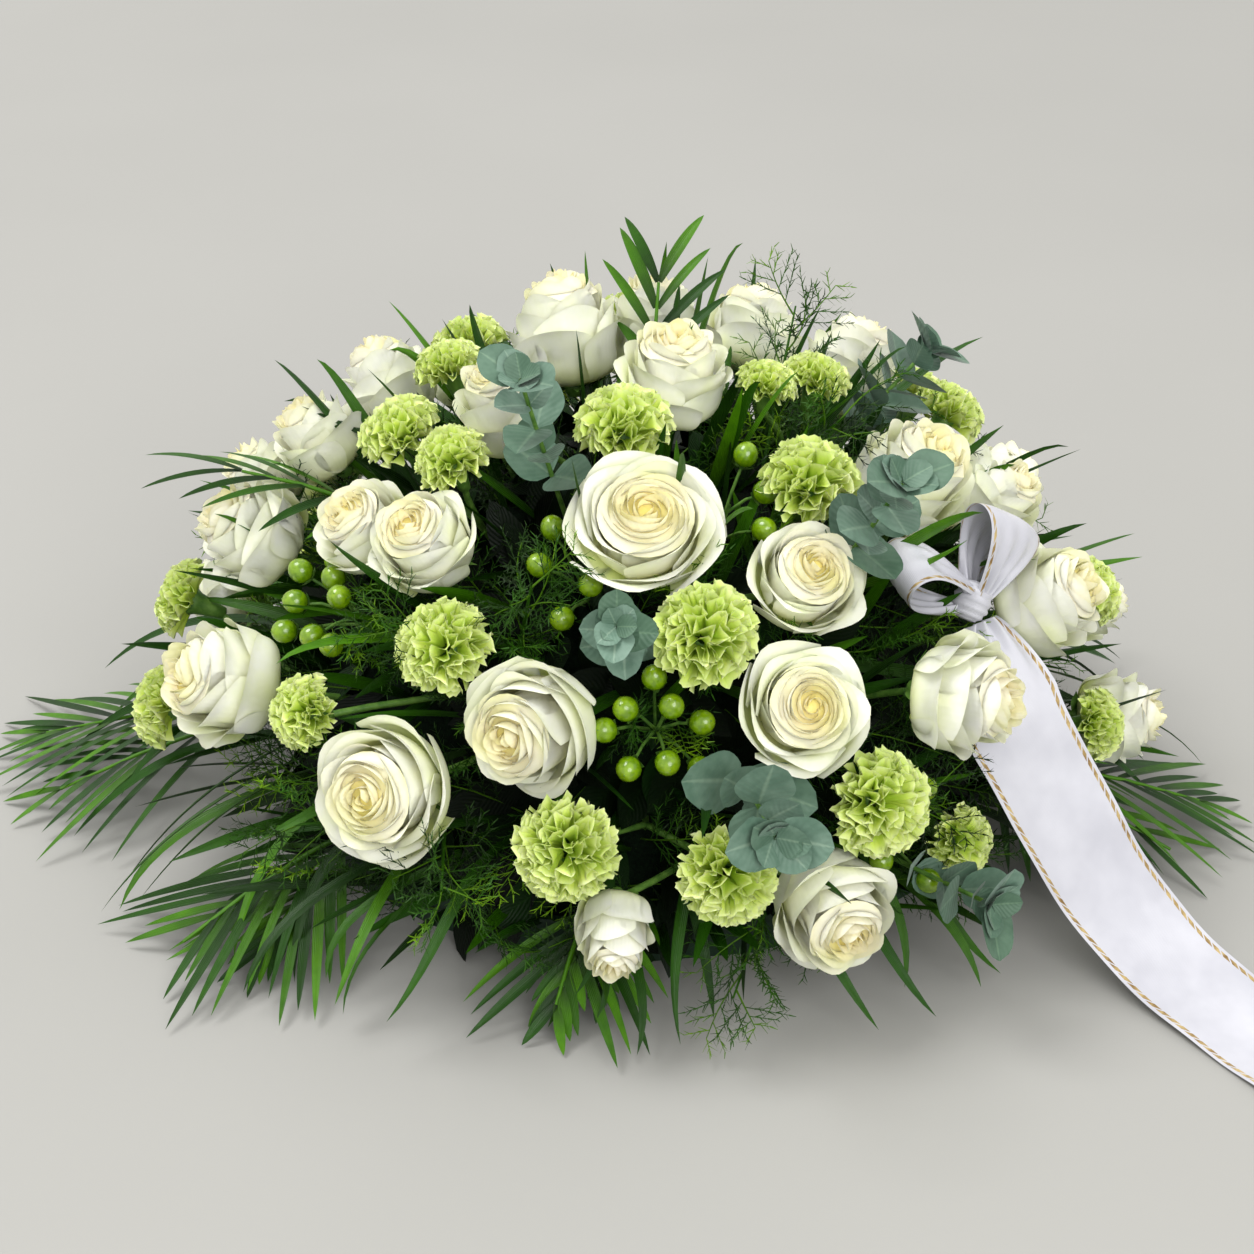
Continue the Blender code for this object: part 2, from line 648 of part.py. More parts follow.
def palm(arrangement, name, fronds):
    """Fronds from one root in the foam."""
    dice = random.Random(name)
    places = [on_dome(frond.azimuth, frond.height) for frond in fronds]
    bottom, surface, way = arrangement.root(sum(places, Vector()) / len(places))
    fork = surface + way * FORK_HEIGHT
    bodies = [rod(bottom, fork, STEM_RADIUS)]
    own = []
    for frond in fronds:
        out = direction(frond.azimuth, frond.rise)
        points = [fork - way * OVERLAP]
        for share in (1 / 3, 2 / 3, 1):
            point = fork + out * frond.length * share - UP * RIB_SAG * share**2
            point.z = max(point.z, 2 * RIB_RADIUS)
            points.append(point)
        bodies.append(tube(points, RIB_RADIUS, 0.7 * RIB_RADIUS, UP))
        bodies += leaflets(arrangement, frond, points, own, dice)
    arrangement.add(name, bodies, PALM_LEAF)


def leaflets(arrangement, frond, points, own, dice):
    """Pairs of narrow leaflets along a rib, left out only where even a short pair would touch something."""
    found = []
    for pair in range(frond.pairs):
        share = FROND_BARE + (LAST_LEAF - FROND_BARE) * pair / (frond.pairs - 1)
        spot, along = along_route(points, share)
        across = along.cross(UP).normalized()
        up = across.cross(along)
        lean = math.radians(54 - 34 * share)
        ways = [
            along * math.cos(lean + turn) + across * side * math.sin(lean + turn)
            for side, turn in ((-1, dice.uniform(-0.1, 0.1)), (1, dice.uniform(-0.1, 0.1)))
        ]
        size = frond.leaflet * (1 - 0.35 * abs(share - 0.45))
        for shorter in ((1, 1), (1, 0.6), (0.6, 1), (0.7, 0.7), (0.45, 0.45)):
            lengths = [size * s * dice.uniform(0.88, 1.06) for s in shorter]
            fall = (spot.z - 0.004) / max(lengths) + min(way.z for way in ways)
            droop = max(0.0, min(fall, MOST_DROOP)) if frond.rise < 0 else RAISED_DROOP
            body = leaf_pair(spot, ways, up, lengths, LEAFLET_WIDTH, LEAFLET_THICKNESS, droop, (1.0,))
            if min(v.co.z for v in body.verts) > FLOOR_CLEAR and arrangement.fits(body, own):
                found.append(body)
                break
    return found


def fern(arrangement, name, branches):
    """Fine branches with needles all round them."""
    dice = random.Random(name)
    tips = [on_dome(azimuth, height) for azimuth, height, _ in branches]
    middle = sum(tips, Vector()) / len(tips)
    bottom, surface, way = arrangement.root(middle, SPRIG_RADIUS)
    fork = surface + way * FORK_HEIGHT
    bodies = [rod(bottom, fork, SPRIG_RADIUS)]
    own = []
    start = fork - way * OVERLAP
    for tip, (_, _, length) in zip(tips, branches):
        along = (tip - start).normalized()
        bodies.append(rod(start, start + along * length, SPRIG_RADIUS, TWIG_RADIUS))
        frame = axes_along(along, dice.uniform(0, math.tau))
        for i in range(FERN_NEEDLES):
            angle = TURN_STEP * i
            share = FROND_BARE + (LAST_LEAF - FROND_BARE) * i / (FERN_NEEDLES - 1)
            spot = start + along * length * share
            tilt = [Vector((side * math.cos(angle), side * math.sin(angle), 0.9)) for side in (-1, 1)]
            ways = [frame @ lean.normalized() for lean in tilt]
            lengths = [NEEDLE_LENGTH * dice.uniform(0.8, 1.2) for _ in ways]
            needles = leaf_pair(spot, ways, along, lengths, 0, 0, 0, ())
            if arrangement.fits(needles, own):
                bodies.append(needles)
    arrangement.add(name, bodies, FERN_GREEN)


# The ribbon
def strip(route, width_at):
    """A strip of ribbon along (point, side) stations."""
    bm = bmesh.new()
    last = len(route) - 1
    bmesh.ops.create_grid(bm, x_segments=1, y_segments=last, size=1)
    for vert in bm.verts:
        row = round((vert.co.y + 1) / 2 * last)
        point, side = route[row]
        vert.co = point + side * vert.co.x * width_at(row / last) / 2
    bm.normal_update()
    bmesh.ops.solidify(bm, geom=bm.faces[:] + bm.edges[:] + bm.verts[:], thickness=RIBBON_THICKNESS)
    if bm.calc_volume(signed=True) < 0:
        bmesh.ops.reverse_faces(bm, faces=bm.faces)
    return bm


def smooth_route(stations, count):
    """Evenly spread (point, side) pairs on a smooth curve through the given ones."""
    last = len(stations) - 1

    def at(which, i):
        return Vector(stations[min(max(i, 0), last)][which])

    found = []
    for n in range(count):
        position = last * n / (count - 1)
        i = min(int(position), last - 1)
        t = position - i
        pair = []
        for which in (0, 1):
            a, b, c, d = (at(which, i + k) for k in (-1, 0, 1, 2))
            bend = (2 * a - 5 * b + 4 * c - d) * t**2 + (3 * b - a - 3 * c + d) * t**3
            pair.append(b + (c - a) * t / 2 + bend / 2)
        found.append((pair[0], pair[1].normalized()))
    return found


def ribbon_tail(arrangement):
    route = smooth_route(RIBBON_ROUTE, RIBBON_STATIONS)

    def width_at(share):
        return RIBBON_WIDTH * min(1.0, RIBBON_GATHER + 3.0 * share)

    top = route[0][0]
    bottom = arrangement.root(top)[0]
    pick = rod(bottom, top + (top - bottom).normalized() * OVERLAP, STEM_RADIUS)
    arrangement.add("ribbon_tail", [strip(route, width_at), pick], SATIN)


def bow_loop(knot, way, normal, length):
    """A loop of ribbon from the knot and back to it."""
    side = way.cross(normal).normalized()
    stations = []
    for i in range(LOOP_STATIONS):
        share = i / (LOOP_STATIONS - 1)
        out = math.sin(math.pi * share)
        rise = math.cos(math.pi * share) * (0.15 + 0.85 * math.sin(math.pi * share))
        stations.append((knot + way * (out * length) + normal * (rise * LOOP_HEIGHT / 2), side))

    def width_at(share):
        return LOOP_WIDTH * (0.12 + 0.88 * math.sin(math.pi * share))

    return strip(stations, width_at)


def bow(arrangement):
    """Two loops of ribbon and the knot that gathers them, on a short stem."""
    knot = Vector(KNOT)
    bottom = arrangement.root(knot)[0]
    core = bmesh.new()
    bmesh.ops.create_uvsphere(core, u_segments=6, v_segments=5, radius=KNOT_RADIUS)
    bmesh.ops.translate(core, verts=core.verts, vec=knot)
    bodies = [core, rod(bottom, knot, STEM_RADIUS)]
    for way, height_way, length in BOW_LOOPS:
        way = Vector(way).normalized()
        stand = Vector(height_way)
        stand = (stand - way * way.dot(stand)).normalized()
        bodies.append(bow_loop(knot, way, stand, length))
    arrangement.add("ribbon_bow", bodies, SATIN)


def main():
    for obj in list(bpy.data.objects):
        bpy.data.objects.remove(obj)
    arrangement = Arrangement()
    tray(arrangement)
    heads = settled([ROSES, CARNATIONS])
    for name in ROSES:
        bunch(arrangement, name, heads[name], rose_head, rose_foot, WHITE_PETAL)
    for name in CARNATIONS:
        bunch(arrangement, name, heads[name], carnation_head, carnation_foot, GREEN_PETAL)
    ribbon_tail(arrangement)
    bow(arrangement)
    for name, spray in BERRY_SPRAYS.items():
        berry_spray(arrangement, name, spray)
    for name, sprig in EUCALYPTUS.items():
        eucalyptus_sprig(arrangement, name, sprig)
    for name, fronds in PALMS.items():
        palm(arrangement, name, fronds)
    for name, branches in FERNS.items():
        fern(arrangement, name, branches)
    foam = arrangement.add("foam", [foam_body()], FOAM)
    boolean(foam, "DIFFERENCE", arrangement.holes)


main()
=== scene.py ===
"""Looks of a domed funeral cushion: fine petals, leaves, berries and ribbon in place of the part's solids.

Metres, +Z up. The origin is the centre of the tray's underside, and the front faces -Y.
Azimuth 0 is the front and 90 the right, and height is the angle above the dome's widest level, in degrees.
Each piece's random numbers are seeded with its node's name, as the solids' are.
"""

import math
import random
from collections import namedtuple

import bpy
import numpy as np
from mathutils import Matrix, Vector
from mathutils.kdtree import KDTree


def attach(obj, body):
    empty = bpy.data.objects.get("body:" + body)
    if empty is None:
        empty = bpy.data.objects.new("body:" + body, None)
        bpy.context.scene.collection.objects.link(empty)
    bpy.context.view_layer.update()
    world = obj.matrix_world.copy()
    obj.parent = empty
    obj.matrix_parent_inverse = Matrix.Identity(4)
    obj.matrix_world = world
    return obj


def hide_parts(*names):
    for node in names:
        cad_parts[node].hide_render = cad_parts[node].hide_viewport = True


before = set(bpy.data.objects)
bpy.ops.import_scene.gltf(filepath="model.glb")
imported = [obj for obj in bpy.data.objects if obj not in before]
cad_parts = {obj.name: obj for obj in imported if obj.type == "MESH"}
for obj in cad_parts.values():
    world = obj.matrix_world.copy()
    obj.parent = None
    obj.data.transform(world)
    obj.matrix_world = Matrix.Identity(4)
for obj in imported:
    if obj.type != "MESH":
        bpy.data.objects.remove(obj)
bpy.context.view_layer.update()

# Driving dimensions, as in the part's source
DOME_AXES = Vector((0.297, 0.267, 0.253))
DOME_LEVEL = 0.041
FOAM_SHARE = 0.68
STEM_RADIUS = 0.0022
SPRIG_RADIUS = 0.0017
BRANCH_RADIUS = 0.0020
TWIG_RADIUS = 0.0012
ROOT_DEPTH = 0.024
FORK_HEIGHT = 0.012
OVERLAP = 0.004
TURN_STEP = 2.4  # radians from one twig or needle to the next
FROND_BARE = 0.25
SPRIG_BARE = 0.42
LAST_LEAF = 0.99
RAISED_DROOP = 0.22
MOST_DROOP = 0.35
HEAD_SPACING = 1.06
SETTLE_ROUNDS = 40
RIBBON_WIDTH = 0.070
SAME_POINT = 0.0003  # how near a solid's corner is to the point that made it

FOCUS = Vector((0, 0, DOME_LEVEL))
UP = Vector((0, 0, 1))
GOLDEN_TURN = 2.39996  # radians, which spreads places evenly round an axis

# A bloom's place on the dome, its width, how far it is open from 0 to 1, how far it stands proud
# of the dome, and where it faces if that isn't straight out
Bloom = namedtuple("Bloom", "azimuth height across open lift face", defaults=(0.6, 0.0, None))

ROSES = {
    "roses_01": [Bloom(3, 57, 0.086, 1.0), Bloom(27, 50, 0.066, 0.75)],
    "roses_02": [Bloom(-56, 50, 0.058, 0.55), Bloom(-42, 52, 0.062, 0.5)],
    "roses_03": [Bloom(-152, 71, 0.070, 0.25), Bloom(172, 67, 0.058, 0.4)],
    "roses_04": [Bloom(39, 84, 0.068, 0.45), Bloom(-63, 72, 0.057, 0.2)],
    "roses_05": [Bloom(155, 62, 0.064, 0.45), Bloom(131, 54, 0.062, 0.4)],
    "roses_06": [Bloom(-122, 52, 0.058, 0.3), Bloom(-100, 48, 0.058, 0.45)],
    "roses_07": [Bloom(-82, 38, 0.066, 0.4), Bloom(-104, 36, 0.052, 0.35)],
    "roses_08": [Bloom(68, 55, 0.070, 0.4), Bloom(82, 44, 0.048, 0.3)],
    "roses_09": [Bloom(69, 33, 0.066, 0.4, 0.006)],
    "roses_10": [Bloom(41, 30, 0.070, 0.5, 0.020, (60, 10))],
    "roses_11": [Bloom(19, 35, 0.072, 0.9)],
    "roses_12": [Bloom(-14, 31, 0.075, 0.6, 0.0, (-32, 10)), Bloom(-31, 21, 0.080, 0.75)],
    "roses_13": [Bloom(-64, 23, 0.072, 0.45)],
    "roses_14": [
        Bloom(-3, 7, 0.044, 0.1, 0.0, (-3, -28)),
        Bloom(21, 8, 0.069, 0.45, 0.0, (18, -6)),
    ],
    "roses_15": [Bloom(82, 7, 0.058, 0.4), Bloom(99, 15, 0.044, 0.4)],
    "roses_16": [Bloom(180, 45, 0.066, 0.8), Bloom(-150, 42, 0.062, 0.6)],
    "roses_17": [Bloom(149, 34, 0.066, 0.8), Bloom(120, 26, 0.060, 0.5)],
    "roses_18": [
        Bloom(-129, 26, 0.066, 0.7),
        Bloom(-157, 16, 0.072, 0.9),
        Bloom(-114, 8, 0.056, 0.4),
    ],
    "roses_19": [Bloom(173, 20, 0.070, 0.75), Bloom(142, 9, 0.058, 0.5)],
}

CARNATIONS = {
    "carnations_01": [Bloom(-134, 60, 0.044), Bloom(-108, 66, 0.040)],
    "carnations_02": [Bloom(-75, 61, 0.047), Bloom(-52, 63, 0.042)],
    "carnations_03": [Bloom(-5, 74, 0.052)],
    "carnations_04": [Bloom(39, 60, 0.054)],
    "carnations_05": [Bloom(92, 70, 0.038), Bloom(72, 76, 0.034), Bloom(112, 47, 0.044)],
    "carnations_06": [Bloom(-94, 19, 0.046), Bloom(-81, 9, 0.046)],
    "carnations_07": [Bloom(-28, 40, 0.050), Bloom(-45, 27, 0.040)],
    "carnations_08": [Bloom(12, 45, 0.054)],
    "carnations_09": [Bloom(26, 23, 0.055), Bloom(40, 10, 0.040, 0.6, -0.018)],
    "carnations_10": [Bloom(-9, 20, 0.054), Bloom(9, 15, 0.052)],
    "carnations_11": [Bloom(88, 24, 0.042), Bloom(67, 15, 0.040)],
    "carnations_12": [Bloom(-178, 56, 0.044), Bloom(-166, 30, 0.048)],
    "carnations_13": [Bloom(-134, 9, 0.046), Bloom(-173, 8, 0.048)],
    "carnations_14": [Bloom(128, 42, 0.044), Bloom(158, 23, 0.045)],
}

# How low a head's foot lies, in head radii, for a bud and an open rose, and for a carnation
BUD_FOOT = -1.35
OPEN_FOOT = -0.65
CARNATION_FOOT = -1.22

Spray = namedtuple("Spray", "azimuth height reach count")
BERRY_SPRAYS = {
    "berries_01": Spray(-58, 39, 0.94, 8),
    "berries_02": Spray(2, 33, 0.95, 8),
    "berries_03": Spray(-13, 54, 0.93, 5),
    "berries_04": Spray(26, 65, 0.95, 4),
    "berries_05": Spray(33, 14, 0.95, 6),
}
BERRY_RADIUS = 0.0072
BERRY_LENGTH = 1.15
BERRY_SPREAD = 0.031

Sprig = namedtuple("Sprig", "azimuth height heading length pairs leaf")
EUCALYPTUS = {
    "eucalyptus_01": Sprig(-32, 66, (-20, 62), 0.145, 3, 0.034),
    "eucalyptus_02": Sprig(42, 47, (30, 60), 0.150, 5, 0.036),
    "eucalyptus_03": Sprig(-3, 44, (-6, 34), 0.118, 4, 0.028),
    "eucalyptus_04": Sprig(14, 26, (8, 6), 0.150, 3, 0.040),
    "eucalyptus_05": Sprig(98, 58, (106, 42), 0.115, 4, 0.038),
    "eucalyptus_06": Sprig(36, 8, (40, 8), 0.125, 4, 0.034),
}

Frond = namedtuple("Frond", "azimuth height rise length pairs leaflet")
PALMS = {
    "palm_01": [Frond(-102, 6, -8, 0.17, 6, 0.120), Frond(-78, 5, -9, 0.15, 6, 0.120)],
    "palm_02": [Frond(-59, 5, -10, 0.12, 5, 0.105), Frond(-38, 4, -12, 0.09, 5, 0.095)],
    "palm_03": [Frond(-20, 4, -13, 0.065, 4, 0.085), Frond(6, 3, -14, 0.045, 3, 0.060)],
    "palm_04": [
        Frond(96, 5, -8, 0.14, 5, 0.105),
        Frond(72, 4, -10, 0.12, 5, 0.100),
        Frond(50, 3, -12, 0.05, 3, 0.070),
    ],
    "palm_05": [Frond(140, 4, -10, 0.15, 6, 0.110), Frond(178, 4, -10, 0.14, 6, 0.110)],
    "palm_06": [Frond(-85, 52, 32, 0.12, 5, 0.080)],
    "palm_07": [Frond(172, 82, 68, 0.115, 5, 0.075)],
}
RIB_RADIUS = 0.0020
RIB_SAG = 0.02
LEAFLET_WIDTH = 0.0072
LEAF_FOLD = 0.35  # how deep a narrow leaf is folded, as a share of its half-width

FERNS = {
    "fern_01": [(-22, 13, 0.11), (-44, 12, 0.10)],
    "fern_02": [(10, 0, 0.11), (37, 19, 0.09)],
    "fern_03": [(112, 72, 0.11), (62, 66, 0.10)],
    "fern_04": [(-145, 28, 0.11), (-120, 16, 0.10)],
    "fern_05": [(-36, 41, 0.10), (-18, 48, 0.10)],
}

RIBBON_ROUTE = (
    ((0.191, -0.111, 0.179), (0.80, 0.58, 0.05)),
    ((0.196, -0.118, 0.168), (0.80, 0.58, 0.05)),
    ((0.202, -0.138, 0.158), (0.82, 0.57, 0.02)),
    ((0.209, -0.156, 0.138), (0.84, 0.54, 0.0)),
    ((0.229, -0.166, 0.103), (0.84, 0.54, 0.0)),
    ((0.254, -0.178, 0.060), (0.84, 0.54, 0.0)),
    ((0.281, -0.192, 0.026), (0.84, 0.54, 0.0)),
    ((0.308, -0.217, 0.007), (0.81, 0.58, 0.0)),
    ((0.332, -0.248, 0.0012), (0.78, 0.62, 0.0)),
    ((0.359, -0.285, 0.0012), (0.79, 0.61, 0.0)),
    ((0.386, -0.317, 0.0012), (0.77, 0.64, 0.0)),
    ((0.413, -0.345, 0.0012), (0.75, 0.66, 0.0)),
)
RIBBON_GATHER = 0.32
LOWEST_FILLING = -8  # degrees
BROAD_LEAVES = 420
LANCE_LEAVES = 300
FERN_PLUMES = 170
LONG_LEAVES = 64
LANCE_HALF = 0.0038  # half-widths of the narrow leaves
LONG_HALF = 0.0035
BLADE_HALF = 0.0040
BLADES = (  # where narrow blades stand out between the blooms, in threes
    (-152, 74), (178, 64), (160, 76), (-120, 62), (-96, 46), (-82, 30), (104, 62), (92, 42),
    (96, 24), (52, 74), (-44, 42), (60, 46), (14, 62), (150, 50), (-170, 40), (-135, 36),
)
KNOT = (0.186, -0.104, 0.190)
BOW_LOOPS = (  # the way of a loop, the way of its height, and its length
    ((-0.85, -0.17, 0.50), (0, 0, 1), 0.050),
    ((0.35, 0.40, 0.75), (0.7, -0.6, 0.2), 0.050),
)
LOOP_HEIGHT = 0.042
LOOP_WIDTH = 0.058
KNOT_RADIUS = 0.012

# The camera: what it looks at, from how far and how high, and its view
CAMERA_TARGET = Vector((-0.0087, -0.0218, 0.1255))
CAMERA_DISTANCE = 1.745
CAMERA_ELEVATION = 30
CAMERA_LENS = 83.5
CAMERA_SENSOR = 36


# Directions and places on the dome
def direction(azimuth, height):
    """The way out at these angles."""
    a, h = math.radians(azimuth), math.radians(height)
    return Vector((math.cos(h) * math.sin(a), -math.cos(h) * math.cos(a), math.sin(h)))


def on_dome(azimuth, height, share=1.0):
    """The point of the dome, or of a smaller one round the same focus, at these angles."""
    way = direction(azimuth, height)
    return FOCUS + share * Vector(a * w for a, w in zip(DOME_AXES, way))


def outward(point):
    """The dome's outward normal at a point's angles."""
    return Vector((p / a**2 for p, a in zip(point - FOCUS, DOME_AXES))).normalized()


def foam_point(way):
    """Where a line from the focus leaves the foam."""
    scaled = Vector(w / (a * FOAM_SHARE) for w, a in zip(way, DOME_AXES))
    return FOCUS + way / scaled.length


def head_of(bloom):
    """A bloom's middle and the way that it faces."""
    middle = on_dome(bloom.azimuth, bloom.height)
    normal = outward(middle)
    face = direction(*bloom.face) if bloom.face else normal
    return middle + bloom.lift * normal, face


def settled(bunches):
    """Each bunch's (bloom, middle, face) list, after crowded neighbours have pushed each other apart."""
    heads = []
    for group in bunches:
        for name, blooms in group.items():
            heads += [(name, bloom, *head_of(bloom)) for bloom in blooms]
    middles = [middle for _, _, middle, _ in heads]
    for _ in range(SETTLE_ROUNDS):
        for i, (first, a, _, _) in enumerate(heads):
            for j in range(i + 1, len(heads)):
                second, b = heads[j][:2]
                if first == second:
                    continue
                apart = middles[i] - middles[j]
                short = HEAD_SPACING * (a.across + b.across) / 2 - apart.length
                if short > 0:
                    push = apart.normalized() * short / 2
                    middles[i] += push
                    middles[j] -= push
    placed = {}
    for (name, bloom, _, face), middle in zip(heads, middles):
        placed.setdefault(name, []).append((bloom, middle, face))
    return placed


def axes_along(way, turn=0.0):
    """A rotation that takes +Z to way, with a turn about it."""
    return way.to_track_quat("Z", "Y").to_matrix() @ Matrix.Rotation(turn, 3, "Z")


def mean(points):
    """The middle of some points."""
    return sum(points, Vector()) / len(points)


def root(aim):
    """The bottom of a stem that points at aim, where it leaves the foam, and its way out."""
    way = (aim - FOCUS).normalized()
    surface = foam_point(way)
    return surface - way * ROOT_DEPTH, surface, way


def along_route(points, share):
    """The place and the direction at a share of the way along straight runs of equal length."""
    at = share * (len(points) - 1)
    low = min(int(at), len(points) - 2)
    run = points[low + 1] - points[low]
    return points[low] + run * (at - low), run.normalized()


class Corners:
    """The corners of a node of the part, to tell which of its possible leaves and berries it has."""

    def __init__(self, name):
        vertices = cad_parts[name].data.vertices
        self.tree = KDTree(len(vertices))
        for i, vertex in enumerate(vertices):
            self.tree.insert(vertex.co, i)
        self.tree.balance()

    def has(self, *points):
        return all(self.tree.find(point)[2] < SAME_POINT for point in points)


# Mesh making
class Skin:
    """Sheets of points gathered in one mesh.

    Each face has a material slot, and each point three values for the materials: across, along and tone.
    """

    def __init__(self):
        self.points = []
        self.faces = []
        self.slots = []
        self.values = []
        self.count = 0

    def sheet(self, grid, slot=0, across=0.0, along=0.0, tone=0.5, closed=False):
        """Quads through rows of points. Closed joins the end of each row to its start."""
        rows, columns = grid.shape[:2]
        index = np.arange(rows * columns).reshape(rows, columns) + self.count
        if closed:
            index = np.concatenate([index, index[:, :1]], axis=1)
        quads = np.stack([index[:-1, :-1], index[:-1, 1:], index[1:, 1:], index[1:, :-1]], axis=-1)
        values = [np.broadcast_to(value, (rows, columns)) for value in (across, along, tone)]
        self.points.append(grid.reshape(-1, 3))
        self.faces.append(quads.reshape(-1, 4))
        self.slots.append(np.full(quads.shape[0] * quads.shape[1], slot))
        self.values.append(np.stack(values, axis=-1).reshape(-1, 3))
        self.count += rows * columns

    def tube(self, route, radius, end_radius=None, slot=0, sides=6, tone=0.5):
        """A stem through points, tapering to end_radius."""
        points = np.array([tuple(point) for point in route], float)
        along = unit(np.gradient(points, axis=0))
        helper = np.eye(3)[np.abs(along.mean(axis=0)).argmin()]
        side = unit(np.cross(along, helper))
        other = np.cross(along, side)
        size = np.linspace(radius, radius if end_radius is None else end_radius, len(points))
        turn = np.linspace(0, math.tau, sides, endpoint=False)
        ring = side[:, None] * np.cos(turn)[:, None] + other[:, None] * np.sin(turn)[:, None]
        grid = points[:, None] + ring * size[:, None, None]
        share = np.linspace(0, 1, len(points))[:, None]
        self.sheet(grid, slot, along=share, tone=tone, closed=True)

    def blade(self, spine, up, half, slot=0, fold=0.25, tone=0.5, columns=5):
        """A leaf along a spine, with its half-width at each spine point, folded along its midrib."""
        along = unit(np.gradient(spine, axis=0))
        side = unit(np.cross(along, np.array(up)))
        normal = np.cross(side, along)
        u = np.linspace(-1, 1, columns)
        flat = spine[:, None] + side[:, None] * (u * half[:, None])[..., None]
        grid = flat + normal[:, None] * (fold * np.abs(u) * half[:, None])[..., None]
        self.sheet(grid, slot, across=u, along=np.linspace(0, 1, len(spine))[:, None], tone=tone)

    def lathe(self, profile, place, sides=12, slot=0, tone=0.5):
        """A body turned from (radius, height) pairs, put in place by a function of an array of points."""
        turn = np.linspace(0, math.tau, sides, endpoint=False)
        out, up = np.array(profile, float).T
        ring = np.stack([np.cos(turn), np.sin(turn), np.zeros(sides)], axis=-1)
        grid = out[:, None, None] * ring + up[:, None, None] * np.array(UP)
        self.sheet(place(grid), slot, along=np.linspace(0, 1, len(profile))[:, None], tone=tone, closed=True)

    def piece(self, name, materials, nodes=(), slot=None):
        """The mesh as an object that rides on the part and stands for some of its nodes."""
        mesh = bpy.data.meshes.new(name)
        points = np.concatenate(self.points)
        points[:, 2] = np.maximum(points[:, 2], 0)
        mesh.from_pydata(points.tolist(), [], np.concatenate(self.faces).tolist())
        values = np.concatenate(self.values).astype(np.float32)
        for i, label in enumerate(("across", "along", "tone")):
            attribute = mesh.attributes.new(label, "FLOAT", "POINT")
            attribute.data.foreach_set("value", np.ascontiguousarray(values[:, i]))
        for finish in materials:
            mesh.materials.append(finish)
        mesh.polygons.foreach_set("material_index", np.concatenate(self.slots))
        mesh.shade_smooth()
        obj = added(name, mesh)
        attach(obj, "root")
        if nodes:
            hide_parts(*nodes)
        return obj


def added(name, data):
    """A new object of the scene."""
    obj = bpy.data.objects.new(name, data)
    bpy.context.scene.collection.objects.link(obj)
    return obj


def unit(vectors):
    return vectors / np.maximum(np.linalg.norm(vectors, axis=-1, keepdims=True), 1e-9)


def placer(middle, axes, scale):
    """A function that scales, turns and moves an array of points."""
    turn = np.array(axes)
    origin = np.array(middle)
    return lambda points: origin + scale * points @ turn.T


def bezier(points, t):
    """A cubic Bezier curve's points at each t."""
    a, b, c, d = (np.array(point, float) for point in points)
    t = np.asarray(t)[..., None]
    return a * (1 - t) ** 3 + 3 * b * t * (1 - t) ** 2 + 3 * c * t**2 * (1 - t) + d * t**3


# Materials
WHITE = (255, 255, 255)
THREAD_PLACE = 0.905  # how far out from the ribbon's middle its gold thread lies
THREAD_REACH = 0.034  # how far the thread reaches to each side


